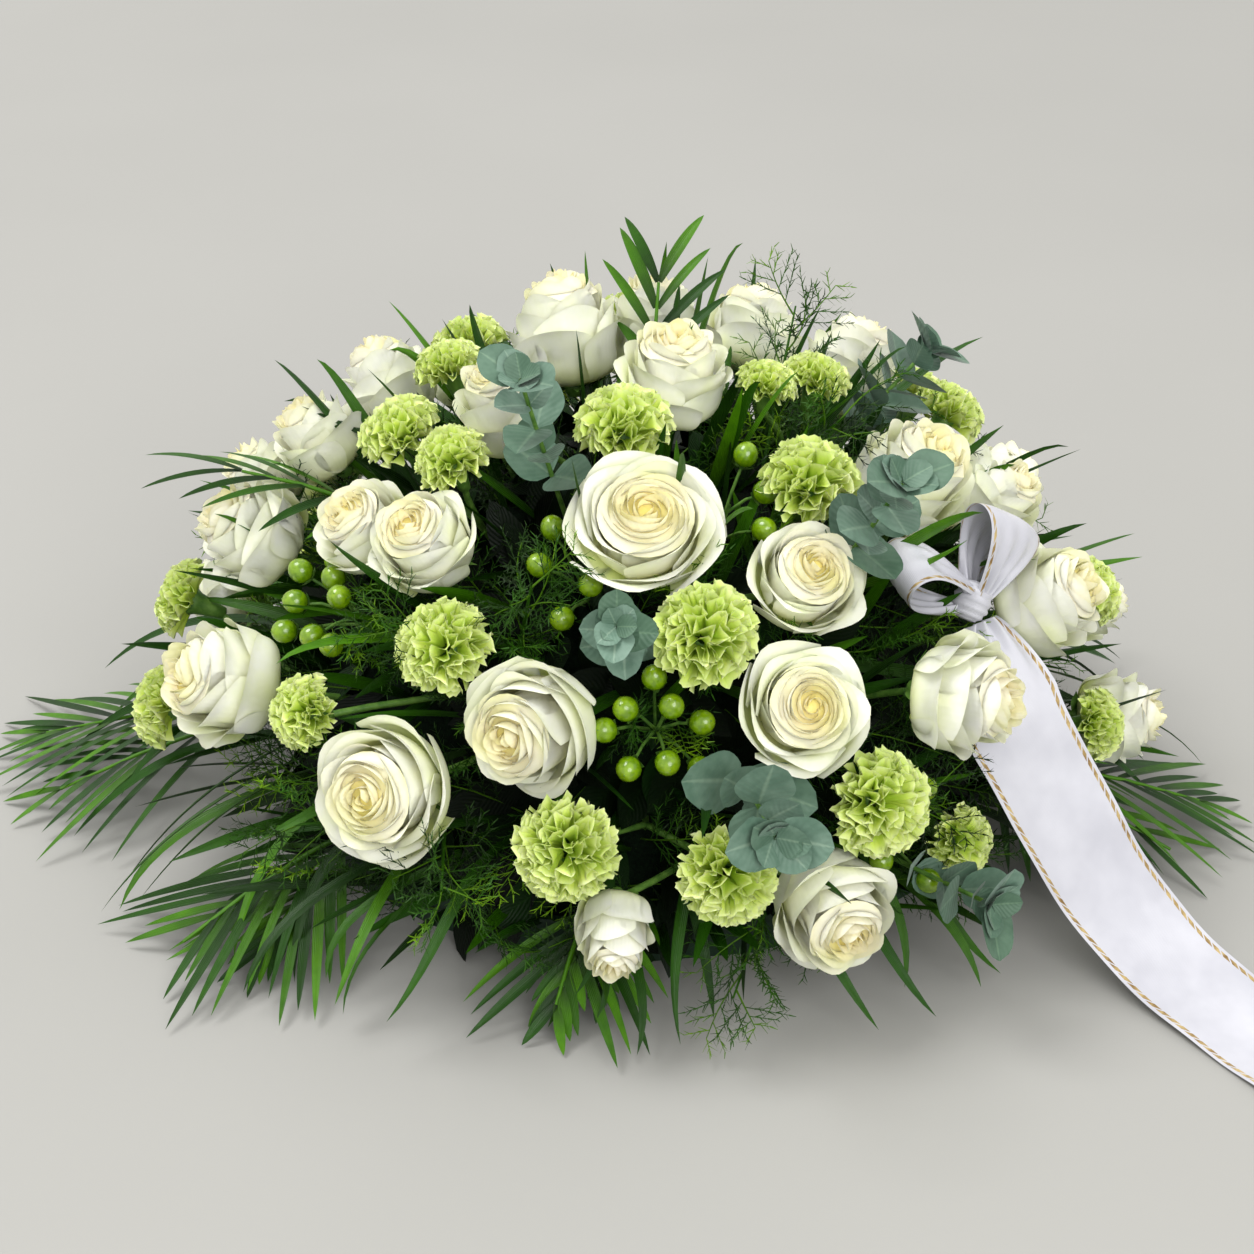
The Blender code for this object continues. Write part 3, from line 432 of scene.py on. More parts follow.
class Finish:
    """A Principled material with the nodes that its colour and relief come from."""

    def __init__(self, name, roughness, **sockets):
        self.material = bpy.data.materials.new(name)
        self.material.use_nodes = True
        self.tree = self.material.node_tree
        self.shader = self.tree.nodes["Principled BSDF"]
        self.shader.inputs["Roughness"].default_value = roughness
        for label, value in sockets.items():
            self.shader.inputs[label.replace("_", " ")].default_value = value

    def node(self, kind, links=(), **settings):
        """A node with its settings, and links or values for its inputs."""
        made = self.tree.nodes.new(kind)
        for label, value in settings.items():
            setattr(made, label, value)
        for label, value in dict(links).items():
            if isinstance(value, bpy.types.NodeSocket):
                self.tree.links.new(value, made.inputs[label])
            else:
                made.inputs[label].default_value = value
        return made

    def value(self, label):
        """A point's across, along or tone value."""
        return self.node("ShaderNodeAttribute", attribute_name=label).outputs["Fac"]

    def off_middle(self):
        """How far out from the middle of a leaf or ribbon a point lies, from 0 to 1."""
        return self.math("ABSOLUTE", self.value("across"))

    def noise(self, scale):
        place = self.node("ShaderNodeTexCoord").outputs["Object"]
        inputs = {"Vector": place, "Scale": scale, "Detail": 3.0, "Roughness": 0.55}
        return self.node("ShaderNodeTexNoise", inputs).outputs["Fac"]

    def math(self, operation, a, b=0.0):
        return self.node("ShaderNodeMath", {0: a, 1: b}, operation=operation).outputs[0]

    def times(self, a, b):
        return self.math("MULTIPLY", a, b)

    def wave(self, value, rate):
        """The sine of a value times a rate."""
        return self.math("SINE", self.times(value, rate))

    def mapped(self, value, **ends):
        """A value stretched between new ends, such as From_Min or To_Max."""
        links = {label.replace("_", " "): end for label, end in ends.items()}
        return self.node("ShaderNodeMapRange", {"Value": value, **links}).outputs["Result"]

    def ramp(self, factor, *stops):
        """A colour ramp through (position, colour) stops."""
        made = self.node("ShaderNodeValToRGB", {"Fac": factor})
        elements = made.color_ramp.elements
        while len(elements) < len(stops):
            elements.new(0.5)
        for element, (position, colour) in zip(elements, stops):
            element.position = position
            element.color = (*linear(colour), 1)
        return made.outputs["Color"]

    def shades(self, label, *stops):
        """A colour ramp over a point's across, along or tone value."""
        return self.ramp(self.value(label), *stops)

    def patches(self, scale, *stops):
        """A colour ramp over noise."""
        return self.ramp(self.noise(scale), *stops)

    def mix(self, factor, a, b, blend="MIX"):
        """A mix of two colours, each a socket or eight-bit red, green and blue."""
        made = self.node("ShaderNodeMix", {"Factor": factor}, data_type="RGBA", blend_type=blend)
        for socket, colour in ((made.inputs[6], a), (made.inputs[7], b)):
            if isinstance(colour, bpy.types.NodeSocket):
                self.tree.links.new(colour, socket)
            else:
                socket.default_value = (*linear(colour), 1)
        return made.outputs[2]

    def shaded(self, colour, shade, factor=1.0):
        """A colour darkened by another."""
        return self.mix(factor, colour, shade, "MULTIPLY")

    def feed(self, label, socket):
        """Links a socket to one of the shader's inputs."""
        self.tree.links.new(socket, self.shader.inputs[label])

    def colour(self, socket):
        self.feed("Base Color", socket)

    def bump(self, height, distance, strength):
        links = {"Height": height, "Distance": distance, "Strength": strength}
        self.feed("Normal", self.node("ShaderNodeBump", links).outputs["Normal"])


def linear(colour):
    """Eight-bit red, green and blue as linear values."""
    shares = [c / 255 for c in colour]
    return [s / 12.92 if s <= 0.04045 else ((s + 0.055) / 1.055) ** 2.4 for s in shares]


def white_petal():
    """Ivory, with a painted golden glow for light shining through the petals deep between the inner ones,
    green at the foot of the outer ones, finely veined.
    """
    finish = Finish(
        "white_petal",
        0.45,
        Subsurface_Weight=0.7,
        Subsurface_Scale=0.012,
        Subsurface_Radius=(0.9, 0.9, 0.8),
        Specular_IOR_Level=0.3,
    )
    body = finish.shades("tone", (0.0, (255, 245, 204)), (0.35, (252, 248, 222)), (0.7, (247, 248, 233)))
    # Painted light: the golden stops paint the glow of light shining through the inner petals low in their
    # creases; the green stop is the outer petals' own colour at the foot.
    deep = finish.shades("tone", (0.0, (255, 238, 166)), (0.6, (255, 247, 200)), (0.95, (234, 242, 182)))
    # Lower on each petal this painted glow, or the green, takes over from white.
    crease_glow_and_foot_green = finish.mix(finish.mapped(finish.value("along"), From_Min=0.3, From_Max=0.85), deep, WHITE)
    patch = finish.patches(45, (0.35, (246, 250, 226)), (0.6, WHITE))
    finish.colour(finish.shaded(finish.shaded(body, crease_glow_and_foot_green), patch, 0.7))
    veins = finish.times(finish.wave(finish.value("across"), 45.0), 0.3)
    finish.bump(finish.math("ADD", veins, finish.noise(200)), 0.0004, 0.15)
    return finish.material


def green_petal():
    """Yellow-green, pale along the frilled rim."""
    finish = Finish(
        "green_petal",
        0.55,
        Subsurface_Weight=0.4,
        Subsurface_Scale=0.005,
        Subsurface_Radius=(0.9, 1.0, 0.3),
        Specular_IOR_Level=0.25,
    )
    stops = [(0.0, (146, 180, 30)), (0.5, (192, 218, 76)), (0.82, (220, 236, 118)), (1.0, (236, 245, 178))]
    shade = finish.shades("tone", (0.0, (226, 234, 200)), (1.0, WHITE))
    finish.colour(finish.shaded(finish.shades("along", *stops), shade))
    finish.bump(finish.noise(420), 0.0006, 0.5)
    return finish.material


def stem_green():
    """Stems and sepals, mid green with darker streaks."""
    finish = Finish("stem_green", 0.5, Specular_IOR_Level=0.35)
    finish.colour(finish.patches(150, (0.3, (58, 98, 32)), (0.7, (104, 142, 58))))
    finish.bump(finish.noise(500), 0.0004, 0.6)
    return finish.material


def berry_green():
    """Glossy green, yellower towards the tip."""
    finish = Finish("berry_green", 0.22, Coat_Weight=0.5, Coat_Roughness=0.12)
    body = finish.shades("along", (0.0, (62, 98, 0)), (0.5, (94, 134, 0)), (1.0, (130, 162, 16)))
    speckle = finish.patches(300, (0.4, (62, 96, 0)), (0.6, (134, 168, 20)))
    finish.colour(finish.mix(0.35, body, speckle))
    finish.bump(finish.noise(700), 0.0002, 0.3)
    return finish.material


def eucalyptus_leaf():
    """Dull blue-green with a pale bloom, a pale midrib and side veins."""
    finish = Finish("eucalyptus_leaf", 0.55, Sheen_Weight=0.15, Sheen_Roughness=0.4)
    rib = finish.ramp(finish.off_middle(), (0.02, (146, 170, 148)), (0.10, (98, 128, 110)))
    patch = finish.patches(90, (0.35, (72, 104, 86)), (0.65, (122, 148, 132)))
    shade = finish.shades("tone", (0.0, (176, 196, 176)), (1.0, WHITE))
    finish.colour(finish.shaded(finish.mix(0.5, rib, patch), shade))
    finish.bump(side_veins(finish, 7.0), 0.0003, 0.2)
    return finish.material


def side_veins(finish, count):
    """Veins that slant from the midrib to the rim."""
    slant = finish.times(finish.off_middle(), 0.35)
    place = finish.math("SUBTRACT", finish.value("along"), slant)
    return finish.wave(place, count * math.tau)


def palm_leaf():
    """Dark green with lengthwise ribs, and painted shade that darkens each leaf towards its foot."""
    finish = Finish("palm_leaf", 0.42, Specular_IOR_Level=0.25)
    body = finish.shades("tone", (0.0, (16, 42, 0)), (0.5, (32, 76, 0)), (1.0, (76, 128, 6)))
    streak = finish.patches(120, (0.3, (215, 225, 205)), (0.7, WHITE))
    # Painted shade: each leaf is darkened towards its foot, where it lies in the shade deep in the foliage.
    foot = finish.shades("along", (0.0, (130, 130, 130)), (0.6, WHITE))
    finish.colour(finish.shaded(finish.shaded(body, streak), foot))
    finish.bump(finish.wave(finish.value("across"), 22.0), 0.0003, 0.4)
    return finish.material


def fern_green():
    """Fresh green needles, some yellower, and darkened with painted shade where they lie deep between the
    blooms.
    """
    finish = Finish("fern_green", 0.55, Specular_IOR_Level=0.25)
    # Painted shade: the darkest stop stands for needles in shade, not a darker green.
    finish.colour(finish.shades("tone", (0.0, (6, 20, 0)), (0.5, (40, 84, 0)), (1.0, (124, 166, 12))))
    finish.bump(finish.noise(500), 0.0002, 0.3)
    return finish.material


def shade_darkened_leaf():
    """The leaves between and below the blooms, their green painted near black for the shade they lie in."""
    finish = Finish("shade_darkened_leaf", 0.5, Specular_IOR_Level=0.15)
    # Painted shade: these near-black greens stand for the shade among the blooms; the tone otherwise differs
    # at random.
    body = finish.shades("tone", (0.0, (3, 12, 1)), (0.6, (8, 28, 3)), (1.0, (24, 64, 8)))
    rib = finish.ramp(finish.off_middle(), (0.0, (255, 255, 235)), (0.15, (215, 220, 205)))
    finish.colour(finish.shaded(body, rib))
    finish.bump(side_veins(finish, 12.0), 0.0003, 0.3)
    return finish.material


def satin():
    """Cool white satin with a fine weave and a twisted gold thread near each edge."""
    finish = Finish("satin", 0.36, Sheen_Weight=0.2, Sheen_Roughness=0.3, Specular_IOR_Level=0.5)
    across = finish.off_middle()
    off = finish.math("ABSOLUTE", finish.math("SUBTRACT", across, THREAD_PLACE))
    slant = finish.math("ADD", finish.times(finish.value("along"), 900.0), finish.times(across, 60.0))
    twist = finish.math("GREATER_THAN", finish.math("SINE", slant), -0.75)
    thread = finish.times(finish.math("LESS_THAN", off, THREAD_REACH), twist)
    white = finish.patches(26, (0.3, (184, 184, 192)), (0.7, (202, 202, 209)))
    gold = finish.patches(160, (0.35, (132, 104, 58)), (0.65, (196, 172, 116)))
    finish.colour(finish.mix(thread, white, gold))
    finish.feed("Metallic", finish.times(thread, 0.25))
    weave = finish.times(finish.wave(finish.value("along"), 9000.0), 0.15)
    finish.bump(finish.math("ADD", weave, thread), 0.0004, 0.4)
    return finish.material


def shade_darkened_foam():
    """Dark green floral foam, painted darker still for the shade under the blooms, finely porous."""
    finish = Finish("shade_darkened_foam", 0.95, Specular_IOR_Level=0.1)
    # Painted shade: the foam's green is darkened to near black for the shade it lies in.
    finish.colour(finish.patches(400, (0.35, (5, 14, 6)), (0.65, (12, 27, 13))))
    finish.bump(finish.noise(900), 0.001, 0.8)
    return finish.material


def tray_plastic():
    """Dark green moulded plastic, faintly grained and scuffed."""
    finish = Finish("tray_plastic", 0.42)
    finish.colour(finish.patches(35, (0.3, (20, 42, 26)), (0.7, (30, 56, 36))))
    finish.feed("Roughness", finish.mapped(finish.noise(90), To_Min=0.32, To_Max=0.55))
    finish.bump(finish.noise(1400), 0.0002, 0.3)
    return finish.material


# Blooms
BUD_LIPS = np.array([(0.0, 0.92), (0.54, 0.80), (0.80, 0.45), (0.98, -0.10)])
OPEN_LIPS = np.array([(0.0, 0.40), (0.46, 0.34), (0.76, 0.22), (1.00, -0.02)])
# From the outside in: how far out a whorl's lips lie, its petals, their half-width in degrees, their flare
# and their rows of points
WHORLS = (
    (1.00, 5, 58, 0.22, 12),
    (0.84, 5, 60, 0.18, 12),
    (0.67, 5, 66, 0.12, 12),
    (0.52, 4, 84, 0.08, 12),
    (0.42, 4, 92, 0.05, 10),
    (0.33, 3, 112, 0.04, 10),
    (0.25, 3, 118, 0.03, 10),
    (0.17, 3, 125, 0.02, 10),
    (0.10, 2, 150, 0.02, 10),
)
PACKED_SHARE = 0.62  # how far out the floor of packed petals between the inner whorls reaches
PACKED_DEPTH = 0.12  # how far it lies below the lips, in head radii
PETAL_FOOT = 0.1  # how far above a rose's foot its petals start, in head radii
CARNATION_FANS = 44
FAN_COLUMNS = 15


def lip_at(opening, share):
    """Radius and height of the lip of a whorl, in head radii, where share 0 is the heart."""
    lips = OPEN_LIPS * opening + BUD_LIPS * (1 - opening)
    place = np.linspace(0, 1, len(lips))
    radius = np.interp(share, lips[:, 0] / lips[-1, 0], place)
    return np.interp(radius, place, lips[:, 0]), np.interp(radius, place, lips[:, 1])


def rose_petal(out, up, low, half, flare, spiral, dice, rows):
    """A petal's points round the +Z axis, in head radii, from its foot at low to its lip at out and up."""
    tall = up - low
    cup = out - flare
    knees = [
        (0.12, low),
        (1.05 * cup + 0.22, low + 0.02 * tall),
        (1.02 * cup + 0.05, low + 0.60 * tall),
        (cup, up - 0.3 * flare),
    ]
    v = np.linspace(0, 1, rows)[:, None]
    u = np.linspace(-1, 1, rows + 2)[None, :]
    rim = 0.86 + 0.14 * (1 - np.abs(u) ** 2.4) + 0.08 * (1 - np.abs(u)) ** 2
    path = bezier(knees, v * rim)
    bend = np.clip((v * rim - 0.66) / 0.34, 0, None) ** 1.7
    wave = dice.uniform(0.01, 0.04) * np.sin(dice.uniform(1.5, 4) * u + dice.uniform(0, 6)) * v**2
    roll = 0.35 * flare * np.abs(u) ** 4 * v
    radius = path[..., 0] * (1 + spiral * u * v) + flare * bend + wave + roll
    height = path[..., 1] + 0.3 * flare * bend * (1.6 - bend) + 0.4 * wave - 0.05 * np.abs(u) ** 3 * v
    angle = math.radians(half) * u * (0.35 + 0.65 * np.sqrt(v)) * (1 - 0.15 * v**5)
    return np.stack([radius * np.cos(angle), radius * np.sin(angle), height], axis=-1)


def rose_head(skin, bloom, middle, face, dice):
    """Whorls of petals, each turned at random, with a floor of packed petals, and a hip with sepals below."""
    axes = axes_along(face, dice.uniform(0, math.tau))
    foot = rose_foot(bloom)
    place = placer(middle, axes, bloom.across / 2)
    hand = dice.choice((-1, 1))
    for share, count, half, flare, rows in WHORLS:
        first = dice.uniform(0, math.tau)
        for j in range(count):
            out, up = lip_at(bloom.open, share * dice.uniform(0.97, 1.04))
            up += dice.uniform(-0.06, 0.06)
            turn = first + math.tau * j / count + dice.uniform(-0.15, 0.15)
            flared = flare * (0.75 + 0.5 * bloom.open) * dice.uniform(0.6, 1.3)
            spiral = hand * (0.10 + 0.14 * (1 - share)) * dice.uniform(0.8, 1.2)
            width = half * dice.uniform(0.92, 1.1)
            points = rose_petal(out, up, foot + PETAL_FOOT, width, flared, spiral, dice, rows)
            spin = np.array(Matrix.Rotation(turn, 3, "Z"))
            tone = share + dice.uniform(-0.08, 0.08)
            across = np.linspace(-1, 1, points.shape[1])
            skin.sheet(place(points @ spin.T), 0, across, np.linspace(0, 1, rows)[:, None], tone)
    # The packed floor gets a low tone, so it takes the painted golden glow of light through the inner petals.
    packed = [lip_at(bloom.open, share) for share in np.linspace(0, PACKED_SHARE, 9)]
    skin.lathe([(out, up - PACKED_DEPTH) for out, up in packed], place, 24, tone=0.1)
    hip = [(0.0, -0.12), (0.13, -0.10), (0.19, 0.02), (0.20, 0.12), (0.0, 0.16)]
    skin.lathe([(out, foot + up) for out, up in hip], place, 10, slot=1)
    sepals(skin, place, foot, dice)


def sepals(skin, place, foot, dice):
    """Five narrow sepals that hug the foot of a rose."""
    for i in range(5):
        turn = math.tau * i / 5 + dice.uniform(-0.2, 0.2)
        t = np.linspace(0, 1, 6)
        out = 0.18 + 0.50 * t
        up = foot + 0.05 + 0.10 * t + 0.16 * t**2 * dice.uniform(-1.0, 1.0)
        spine = np.stack([out * math.cos(turn), out * math.sin(turn), up], axis=-1)
        half = taper(0.10, t, 0.25, 1) + 0.005
        step = np.linalg.norm(place(spine[1:2]) - place(spine[:1]))
        skin.blade(place(spine), UP, 9 * step * half, slot=1)


def carnation_head(skin, bloom, middle, face, dice):
    """A ball of fan petals with ruffled, toothed rims over a calyx."""
    axes = axes_along(face, dice.uniform(0, math.tau))
    place = placer(middle, axes, bloom.across / 2)
    for i in range(CARNATION_FANS):
        rise = 1 - (i + 0.5) / CARNATION_FANS * 1.16
        level = math.sqrt(1 - rise**2)
        around = GOLDEN_TURN * i
        tip = np.array((level * math.cos(around), level * math.sin(around), 0.66 * rise + 0.02))
        tip *= dice.uniform(0.92, 1.10)
        fan(skin, place, tip, around, dice)
    calyx = [(0.0, CARNATION_FOOT), (0.16, -1.16), (0.22, -0.8), (0.30, -0.42), (0.42, -0.20), (0.2, -0.1)]
    skin.lathe(calyx, place, 10, slot=1)


def fan(skin, place, tip, around, dice):
    """One petal from the neck of the head to its tip."""
    foot = np.array((0, 0, -0.40))
    run = tip - foot
    long = np.linalg.norm(run)
    along = run / long
    turn = around + math.pi / 2 + dice.uniform(-0.9, 0.9)
    level = np.array((math.cos(turn), math.sin(turn), dice.uniform(-0.4, 0.4)))
    side = level - along * level.dot(along)
    side /= np.linalg.norm(side)
    normal = np.cross(along, side)
    v = np.linspace(0.25, 1, 6)[:, None]
    u = np.linspace(-1, 1, FAN_COLUMNS)[None, :]
    spread = 0.46 * v**1.5
    ruffle = 0.18 * v**3 * np.sin(dice.uniform(5, 7) * u + dice.uniform(0, 6))
    ruffle = ruffle + 0.045 * v**4 * np.sin(15 * u + dice.uniform(0, 6))
    teeth = 0.022 * v**8 * np.where(np.arange(FAN_COLUMNS) % 2, 1.0, -1.0)[None, :]
    reach = long * v * (1 - 0.10 * u**2) + teeth
    grid = foot + reach[..., None] * along + (spread * u)[..., None] * side + ruffle[..., None] * normal
    skin.sheet(place(grid), 0, across=u, along=v, tone=dice.uniform(0, 1))


def bunch(name, heads, make, foot_share, petals, stems, slot):
    """A node's blooms on the branches of their stem."""
    dice = random.Random(name)
    feet = [middle + face * (foot_share(bloom) * bloom.across / 2) for bloom, middle, face in heads]
    aim = mean(feet)
    bottom, surface, way = root(aim)
    skin = Skin()
    fork = surface + way * min(0.3 * (aim - surface).length, 0.02)
    skin.tube([bottom, surface, fork], STEM_RADIUS, slot=1)
    for (_, _, face), foot in zip(heads, feet):
        bend = fork.lerp(foot, 0.6) + way * 0.004
        skin.tube([fork - way * OVERLAP, bend, foot + face * OVERLAP], BRANCH_RADIUS, slot=1)
    for head in heads:
        make(skin, *head, dice)
    return skin.piece(name + "_petals", [petals, stems], [name], slot)


def rose_foot(bloom):
    """How low a rose's foot lies, in head radii, by how far it is open."""
    return OPEN_FOOT * bloom.open + BUD_FOOT * (1 - bloom.open)


def carnation_foot(_):
    """How low a carnation's foot lies, which is the same for all."""
    return CARNATION_FOOT


# Foliage
# Shares of their full size, or of their distance, at which a node's leaves and berries are looked for
LEAF_SHARES = ((1, 1), (1, 0.6), (0.6, 1), (0.6, 0.6))
LEAFLET_SHARES = ((1, 1), (1, 0.6), (0.6, 1), (0.7, 0.7), (0.45, 0.45))
BERRY_SHARES = (1.0, 0.9, 0.8, 1.1)
LEAF_DROOP = 0.05  # how far a round leaf falls, as a share of its length
NEEDLE_LENGTH = 0.0062
NEEDLE_HALF = 0.00045
NEEDLE_STEP = 0.0016


def berry_spray(name, spray, berry_skin, stems):
    """Berries with sepals on twigs round a stem, where the node has them."""
    dice = random.Random(name)
    corners = Corners(name)
    tip = on_dome(spray.azimuth, spray.height, spray.reach)
    bottom, surface, way = root(tip)
    axes = axes_along(way, dice.uniform(0, math.tau))
    top = surface + (tip - surface) * 0.75
    skin = Skin()
    skin.tube([bottom, surface, top], SPRIG_RADIUS, TWIG_RADIUS, slot=1)
    for i in range(spray.count):
        angle = TURN_STEP * i
        share = (i + 0.5) / spray.count
        start = surface.lerp(top, 0.25 + 0.7 * share)
        for stretch in BERRY_SHARES:
            reach = BERRY_SPREAD * math.sqrt(1.15 - share) * stretch
            end = tip + axes @ Vector((math.cos(angle), math.sin(angle), 0)) * reach
            end += way * (BERRY_RADIUS * (share - 0.5) + dice.uniform(-0.004, 0.004))
            along = (end - start).normalized()
            if corners.has(end + along * BERRY_RADIUS * BERRY_LENGTH):
                berry(skin, start, end, along)
                break
    skin.piece(name + "_fruit", [berry_skin, stems], [name], "berry_skin")


def berry(skin, start, end, along):
    """A plump berry with its sepals and the dry tip of its style."""
    place = placer(end, axes_along(along), BERRY_RADIUS)
    turn = np.linspace(math.pi, 0, 12)
    body = [(0.98 * math.sin(a), 1.04 * math.cos(a) + 0.05 * math.cos(a) ** 2) for a in turn]
    skin.lathe(body, place, 16)
    skin.lathe([(0.07, 1.0), (0.05, 1.14), (0.0, 1.15)], place, 6, slot=1)
    bend = start.lerp(end, 0.5) + UP * 0.002
    skin.tube([start, bend, end - along * BERRY_RADIUS * 0.9], 0.0010, 0.0009, slot=1)
    for i in range(5):
        turn = math.tau * i / 5
        t = np.linspace(0, 1, 5)
        out = 0.12 + 0.86 * t
        spine = np.stack([out * math.cos(turn), out * math.sin(turn), -1.12 + 0.42 * t**2], axis=-1)
        skin.blade(place(spine), along, taper(0.30 * BERRY_RADIUS, t, 0.15, 1), slot=1)


def taper(half, t, start, power):
    """A leaf's half-widths at each t: pointed at the tip, and broader at the foot the larger start is."""
    return half * np.sin(np.pi * np.clip(start + (1 - start) * t, 0, 1)) ** power


def leaf_spine(spot, way, length, droop, count):
    """Points from a stem to a leaf's tip, falling with the square of the distance."""
    t = np.linspace(0.02, 1, count)[:, None]
    return np.array(spot) + np.array(way) * length * t - np.array(UP) * droop * length * t**2


def eucalyptus_sprig(name, sprig, leaf, stems):
    """A stem with pairs of round leaves, those of the node and smaller ones between and beyond them."""
    dice = random.Random(name)
    corners = Corners(name)
    extra = random.Random(name + "_extra")
    points = sprig_route(sprig)
    skin = Skin()
    skin.tube(points, SPRIG_RADIUS, TWIG_RADIUS, slot=1)
    step = (LAST_LEAF - SPRIG_BARE) / (sprig.pairs - 1)
    for pair in range(sprig.pairs):
        share = SPRIG_BARE + step * pair
        turn = pair * math.pi / 2
        size = sprig.leaf * (1.0 - 0.25 * pair / sprig.pairs)
        spot, along = along_route(points[1:], share)
        axes = axes_along(along, turn + dice.uniform(-0.3, 0.3))
        ways = [axes @ Vector((side, 0, 0.5)).normalized() for side in (-1, 1)]
        for way, length in node_leaves(spot, ways, size, corners, dice):
            round_leaf(skin, spot, way, along, length, size, extra)
        spot, along = along_route(points[1:], min(share + step / 2, LAST_LEAF))
        for side in (-1, 1):
            way = axes_along(along, turn + 0.8) @ Vector((0, side, 0.7)).normalized()
            round_leaf(skin, spot, way, along, 0.7 * size, 0.75 * size, extra)
    tip, along = along_route(points, 1.0)
    for i in range(5):
        way = axes_along(along, i * 2.0) @ Vector((0.7, 0, 0.5 + 0.15 * i)).normalized()
        round_leaf(skin, tip - along * 0.002 * i, way, along, 0.5 * sprig.leaf, 0.5 * sprig.leaf, extra)
    skin.piece(name + "_leaves", [leaf, stems], [name], "eucalyptus_leaves")


def sprig_route(sprig):
    """A sprig's stem, which turns from its way out of the foam towards its heading."""
    bottom, surface, way = root(FOCUS + direction(sprig.azimuth, sprig.height))
    heading = direction(*sprig.heading)
    points = [bottom, surface + way * OVERLAP]
    for i in range(1, 4):
        points.append(points[-1] + way.lerp(heading, i / 4).normalized() * sprig.length / 3)
    return points


def node_leaves(spot, ways, size, corners, dice):
    """The way and length of each leaf of a pair, or none where the node has no pair."""
    for shares in LEAF_SHARES:
        lengths = [size * share * dice.uniform(0.9, 1.1) for share in shares]
        pair = list(zip(ways, lengths))
        if corners.has(*(spot + way * length - UP * LEAF_DROOP * length for way, length in pair)):
            return pair
    return []


def round_leaf(skin, spot, way, up, length, size, dice):
    """A broad leaf, slightly cupped, with a wavy rim."""
    spine = leaf_spine(spot, way, length, LEAF_DROOP, 12)
    t = np.linspace(0, 1, 12)
    half = 0.42 * size * np.sqrt(np.clip(np.sin(np.pi * t**0.85), 0, 1)) + 0.0004
    half *= 1 + 0.05 * np.sin(9 * t + dice.uniform(0, 6))
    skin.blade(spine, up, half, 0, dice.uniform(0.05, 0.4), dice.uniform(0, 1), 9)


def palm(name, fronds, leaf):
    """Ribs with narrow folded leaflets, those of the node and more between them."""
    dice = random.Random(name)
    corners = Corners(name)
    extra = random.Random(name + "_extra")
    bottom, surface, way = root(mean([on_dome(frond.azimuth, frond.height) for frond in fronds]))
    fork = surface + way * FORK_HEIGHT
    skin = Skin()
    skin.tube([bottom, surface, fork], STEM_RADIUS)
    for frond in fronds:
        out = direction(frond.azimuth, frond.rise)
        points = [fork - way * OVERLAP]
        for share in (1 / 3, 2 / 3, 1):
            point = fork + out * frond.length * share - UP * RIB_SAG * share**2
            point.z = max(point.z, 2 * RIB_RADIUS)
            points.append(point)
        skin.tube(points, RIB_RADIUS, 0.5 * RIB_RADIUS, tone=0.9)
        found = node_leaflets(frond, points, corners, dice)
        for leaflet in found + (between(found) if frond.rise < 0 else []):
            narrow_leaf(skin, leaflet, extra)
    skin.piece(name + "_fronds", [leaf], [name], "palm_leaves")


# A leaflet: its place, the way it sets out, its upper face's way, its length, how far it falls and its side
Leaflet = namedtuple("Leaflet", "spot way up length droop side")


def node_leaflets(frond, points, corners, dice):
    """The leaflets that the solid frond has."""
    found = []
    for pair in range(frond.pairs):
        share = FROND_BARE + (LAST_LEAF - FROND_BARE) * pair / (frond.pairs - 1)
        spot, along = along_route(points, share)
        across = along.cross(UP).normalized()
        up = across.cross(along)
        lean = math.radians(54 - 34 * share)
        ways = [
            along * math.cos(lean + turn) + across * side * math.sin(lean + turn)
            for side, turn in ((-1, dice.uniform(-0.1, 0.1)), (1, dice.uniform(-0.1, 0.1)))
        ]
        size = frond.leaflet * (1 - 0.35 * abs(share - 0.45))
        for shares in LEAFLET_SHARES:
            lengths = [size * shorter * dice.uniform(0.88, 1.06) for shorter in shares]
            fall = (spot.z - 0.004) / max(lengths) + min(way.z for way in ways)
            droop = max(0.0, min(fall, MOST_DROOP)) if frond.rise < 0 else RAISED_DROOP
            tips = [spot + way * length - UP * droop * length for way, length in zip(ways, lengths)]
            if corners.has(*tips):
                for side, way, length in zip((-1, 1), ways, lengths):
                    found.append(Leaflet(spot, way, up, length, droop, side))
                break
    return found


def between(found):
    """Another leaflet between each leaflet of a side and the next."""
    made = []
    for side in (-1, 1):
        row = [leaflet for leaflet in found if leaflet.side == side]
        for a, b in zip(row, row[1:]):
            spot = a.spot.lerp(b.spot, 0.5)
            way = a.way.lerp(b.way, 0.5).normalized()
            up = a.up.lerp(b.up, 0.5).normalized()
            length = min(a.length, b.length) * 0.96
            made.append(Leaflet(spot, way, up, length, (a.droop + b.droop) / 2, side))
    return made


def narrow_leaf(skin, leaflet, dice):
    """A long pointed leaflet, folded along its midrib."""
    t = np.linspace(0, 1, 12)
    spine = leaf_spine(leaflet.spot, leaflet.way, leaflet.length, leaflet.droop, 12)
    half = taper(0.5 * LEAFLET_WIDTH, t, 0.12, 0.7) * dice.uniform(0.75, 1.0)
    skin.blade(spine, leaflet.up, half, 0, LEAF_FOLD, dice.uniform(0.2, 1))


